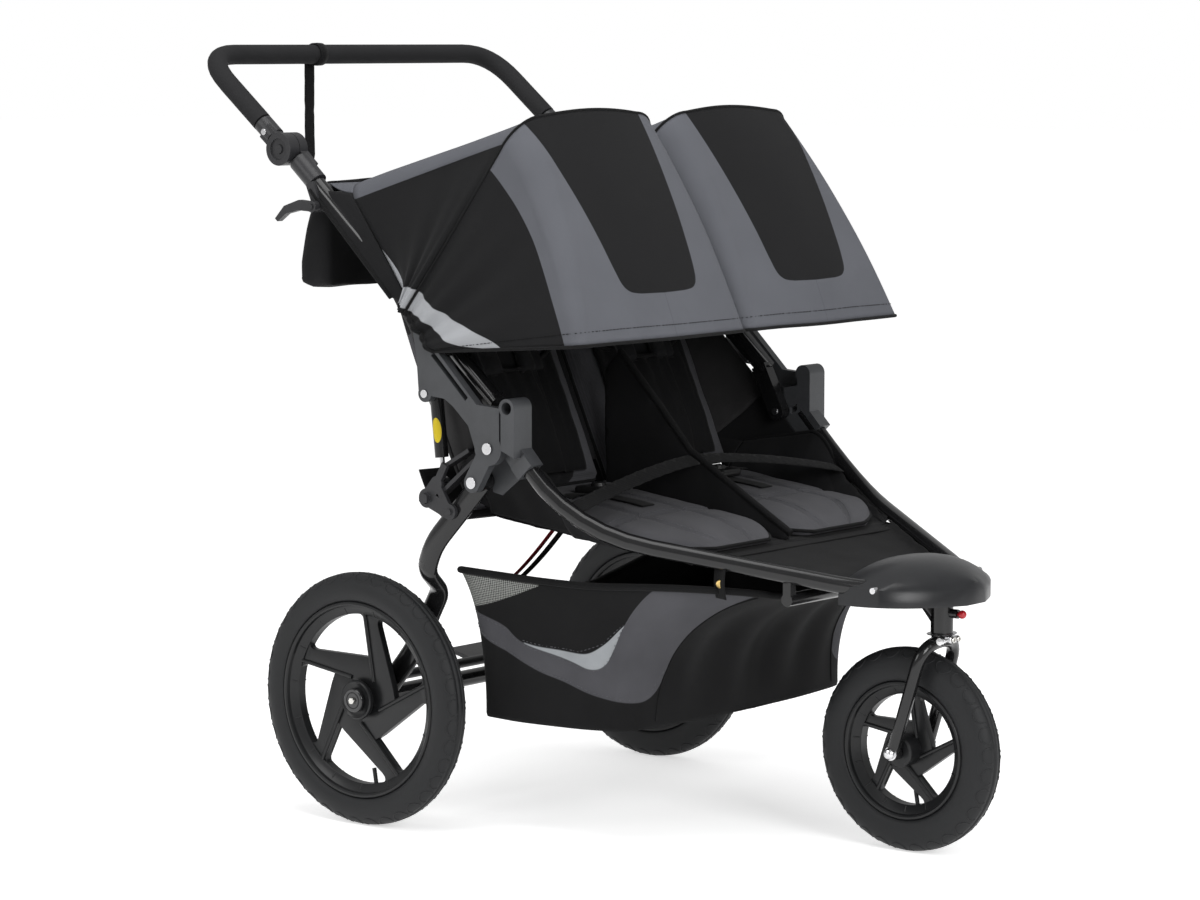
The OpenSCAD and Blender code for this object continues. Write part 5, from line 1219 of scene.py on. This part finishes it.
for tyre, hub_half in (("rear_tyre_right", 0.020), ("rear_tyre_left", 0.020), ("front_tyre", 0.035)):
    node = tyre.replace("tyre", "rim")
    hub, radius, half_w, seat = WHEELS[tyre]
    inner, lip, flange, wheel = seat - 0.022, 0.31 * half_w, 0.80 * half_w, bmesh.new()
    half = [(lip, inner), (lip + 0.002, inner + 0.0015), (flange - 0.0045, seat - 0.009),
            (flange + 0.0005, seat - 0.0078), (flange + 0.0022, seat - 0.0055),
            (flange + 0.0018, seat - 0.0025), (flange, seat - 0.001), (flange - 0.0015, seat)]
    spun(wheel, half + [(-x, r) for x, r in reversed(half)], hub, 120)
    drum = [(hub_half, 0.010), (hub_half, 0.021), (hub_half - 0.0025, 0.024)]
    spun(wheel, drum + [(-x, r) for x, r in reversed(drum)], hub, 60)
    if hub.x:
        out = 1 if hub.x > 0 else -1
        for i in range(TEETH):
            tooth = bmesh.ops.create_cube(wheel, size=1)["verts"]
            bmesh.ops.scale(wheel, vec=(0.005, 0.0075, 0.013), verts=tooth)
            bmesh.ops.translate(wheel, vec=(-out * 0.0175, 0, 0.0295), verts=tooth)
            bmesh.ops.rotate(wheel, matrix=Matrix.Rotation(2 * pi * (i + 0.5) / TEETH, 3, "X"), verts=tooth)
            bmesh.ops.translate(wheel, vec=hub, verts=tooth)
    bmesh.ops.remove_doubles(wheel, verts=wheel.verts, dist=1e-6)
    ribs, length = [], inner + 0.002
    for i in range(BLADES):
        turn = (i + 0.5) * 2 * pi / BLADES
        plate = bmesh.new()
        corners = [about_axle(hub, turn, a * length, b * length, -BLADE_THICK / 2) for a, b in BLADE]
        low = plate.faces.new([plate.verts.new(corner) for corner in corners])
        raised = bmesh.ops.extrude_face_region(plate, geom=[low])["geom"]
        raised = [g for g in raised if isinstance(g, bmesh.types.BMVert)]
        bmesh.ops.translate(plate, vec=(BLADE_THICK, 0, 0), verts=raised)
        bmesh.ops.recalc_face_normals(plate, faces=plate.faces)
        uprights = [e for e in plate.edges if abs(e.verts[0].co.x - e.verts[1].co.x) > 0.005]
        round_edges(plate, uprights, 0.005, 4)
        rims = [e for e in plate.edges if abs(e.verts[0].co.x - e.verts[1].co.x) < 1e-6]
        round_edges(plate, rims, 0.0018, 3)
        blank = bpy.data.meshes.new("blade")
        plate.to_mesh(blank)
        plate.free()
        wheel.from_mesh(blank)
        for out in (-1, 1):
            ribs.append([about_axle(hub, turn, (0.22 + 0.78 * k) * length, (0.180 - 0.132 * k) * length,
                                    out * 0.0065) for k in shares(12)])
    bmesh.ops.recalc_face_normals(wheel, faces=wheel.faces)
    shade_by_angle(wheel, 32)
    run_mesh(wheel, ribs, 0.0034, 2)
    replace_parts(as_piece(wheel, node + "_moulding", body_with[node], wheel_nylon), node)
    ends = ((inner + 0.0012, lip + 0.0015), (inner + 0.010, lip + 0.62 * (flange - 0.003 - lip)))
    clips = [[about_axle(hub, 2 * pi * k / CLIPS, r, 0, out * x) for r, x in ends]
             for k in range(CLIPS) for out in (-1, 1)]
    piping(node + "_clips", clips, 0.0013, body_with[node], wheel_nylon, 1)
    down = Vector((0, -sin(0.17), -cos(0.17)))
    piping(node + "_valve", [[hub + down * r for r in (inner + 0.004, inner - 0.010, inner - 0.024)]], 0.0034,
           body_with[node], rubber, 3)


# Fork fittings: zinc cap nuts on the front axle, and under the head tube a zinc washer and clamp whose
# thumb screw trims the wheel's tracking. All of them turn with the fork.
def fitting(name, section, centre, axis, steps=36, metal=zinc, wide=1.0):
    """A fitting turned from an open section of distances along and out from its axis."""
    bm = bmesh.new()
    spun(bm, section, centre, steps, axis, closed=False)
    joined(bm)
    bmesh.ops.scale(bm, vec=(wide, 1.0, 1.0), space=Matrix.Translation(-centre), verts=bm.verts)
    as_piece(bm, name, body_with["fork"], metal)


STEER = Vector((0, -0.833 + Y0, 0.322))
NUT = [(0.0, 0.0), (0.0, 0.0105), (0.0016, 0.0105), (0.0018, 0.0084), (0.0068, 0.0084), (0.0094, 0.0066),
       (0.0106, 0.0036), (0.0109, 0.0)]
WASHER = [(0.0, 0.0), (0.0, 0.0205), (0.0007, 0.0212), (0.0014, 0.0205), (0.0014, 0.0)]
SCREW = [(0.0, 0.0), (0.0, 0.0046), (0.0030, 0.0046), (0.0036, 0.0040), (0.0036, 0.0024), (0.0018, 0.0022),
         (0.0018, 0.0)]
THUMB_SCREW = [(0.0, 0.0), (0.0, 0.0026), (0.011, 0.0026), (0.0115, 0.0044), (0.013, 0.0052), (0.015, 0.0044),
               (0.016, 0.0034), (0.0175, 0.0056), (0.020, 0.0068), (0.0225, 0.0056), (0.0235, 0.0)]
for side, sign in SIDES.items():
    fitting("front_axle_nut_" + side, NUT, FRONT_HUB + Vector((sign * 0.0522, 0, 0)), (sign, 0, 0))
fitting("crown_washer", WASHER, STEER + Vector((0, 0, 0.0155)), (0, 0, 1), 48, wide=1.3)
bm = bmesh.new()
bmesh.ops.create_cube(bm, size=1.0)
bmesh.ops.scale(bm, vec=(0.026, 0.012, 0.010), verts=bm.verts)
bmesh.ops.translate(bm, vec=STEER + Vector((0, -0.018, 0.009)), verts=bm.verts)
round_edges(bm, bm.edges[:], 0.002, 3)
as_piece(bm, "crown_clamp", body_with["fork"], zinc)
for side, x in (("right", -0.007), ("left", 0.007)):
    fitting("crown_screw_" + side, SCREW, STEER + Vector((x, -0.0235, 0.009)), (0, -1, 0), 24, bright_bolt)
fitting("tracking_screw", THUMB_SCREW, STEER + Vector((-0.012, -0.0185, 0.009)), (-1, 0, 0))


# Hub caps: glossy round caps over the rear axle ends, with a thin ring and a bright bolt, each inside a
# dished cover on the outer side of its wheel.
cap_gloss = finish("hub_cap_gloss", (0.010, 0.010, 0.011), 0.16, coat=0.6)
CAP_RING = 0.0125
COVER = [(0.010, 0.0195), (0.010, 0.0255), (0.0140, 0.0300), (0.0180, 0.0314), (0.0212, 0.0306),
         (0.0226, 0.0284), (0.0216, 0.0262), (0.0206, 0.0240), (0.0206, 0.0195)]
for side, sign in SIDES.items():
    node = "rear_hub_cap_" + side
    softened(node, cap_gloss, 0.0022)
    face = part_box(node)[1 if sign > 0 else 0][0]
    turns = [2 * pi * k / 40 for k in range(40)]
    ring = [(face, Y0 + CAP_RING * sin(turn), REAR_R + CAP_RING * cos(turn)) for turn in turns]
    piping(node + "_ring", [ring], 0.0010, body_with[node], wheel_nylon, 1, closed=True)
    cover = bmesh.new()
    spun(cover, [(sign * x, r) for x, r in COVER], REAR_HUBS[side], 72)
    bmesh.ops.recalc_face_normals(cover, faces=cover.faces)
    shade_by_angle(cover, 40)
    as_piece(cover, "rear_hub_cover_" + side, body_with[node], wheel_nylon)
    bm = bmesh.new()
    bmesh.ops.create_cone(bm, cap_ends=True, segments=6, radius1=0.0062, radius2=0.0055, depth=0.005)
    bmesh.ops.rotate(bm, matrix=Matrix.Rotation(sign * pi / 2, 3, "Y"), verts=bm.verts)
    bmesh.ops.translate(bm, vec=(face + sign * 0.0015, Y0, REAR_R), verts=bm.verts)
    round_edges(bm, bm.edges[:], 0.0006, 2)
    as_piece(bm, node + "_bolt", body_with[node], bright_bolt)
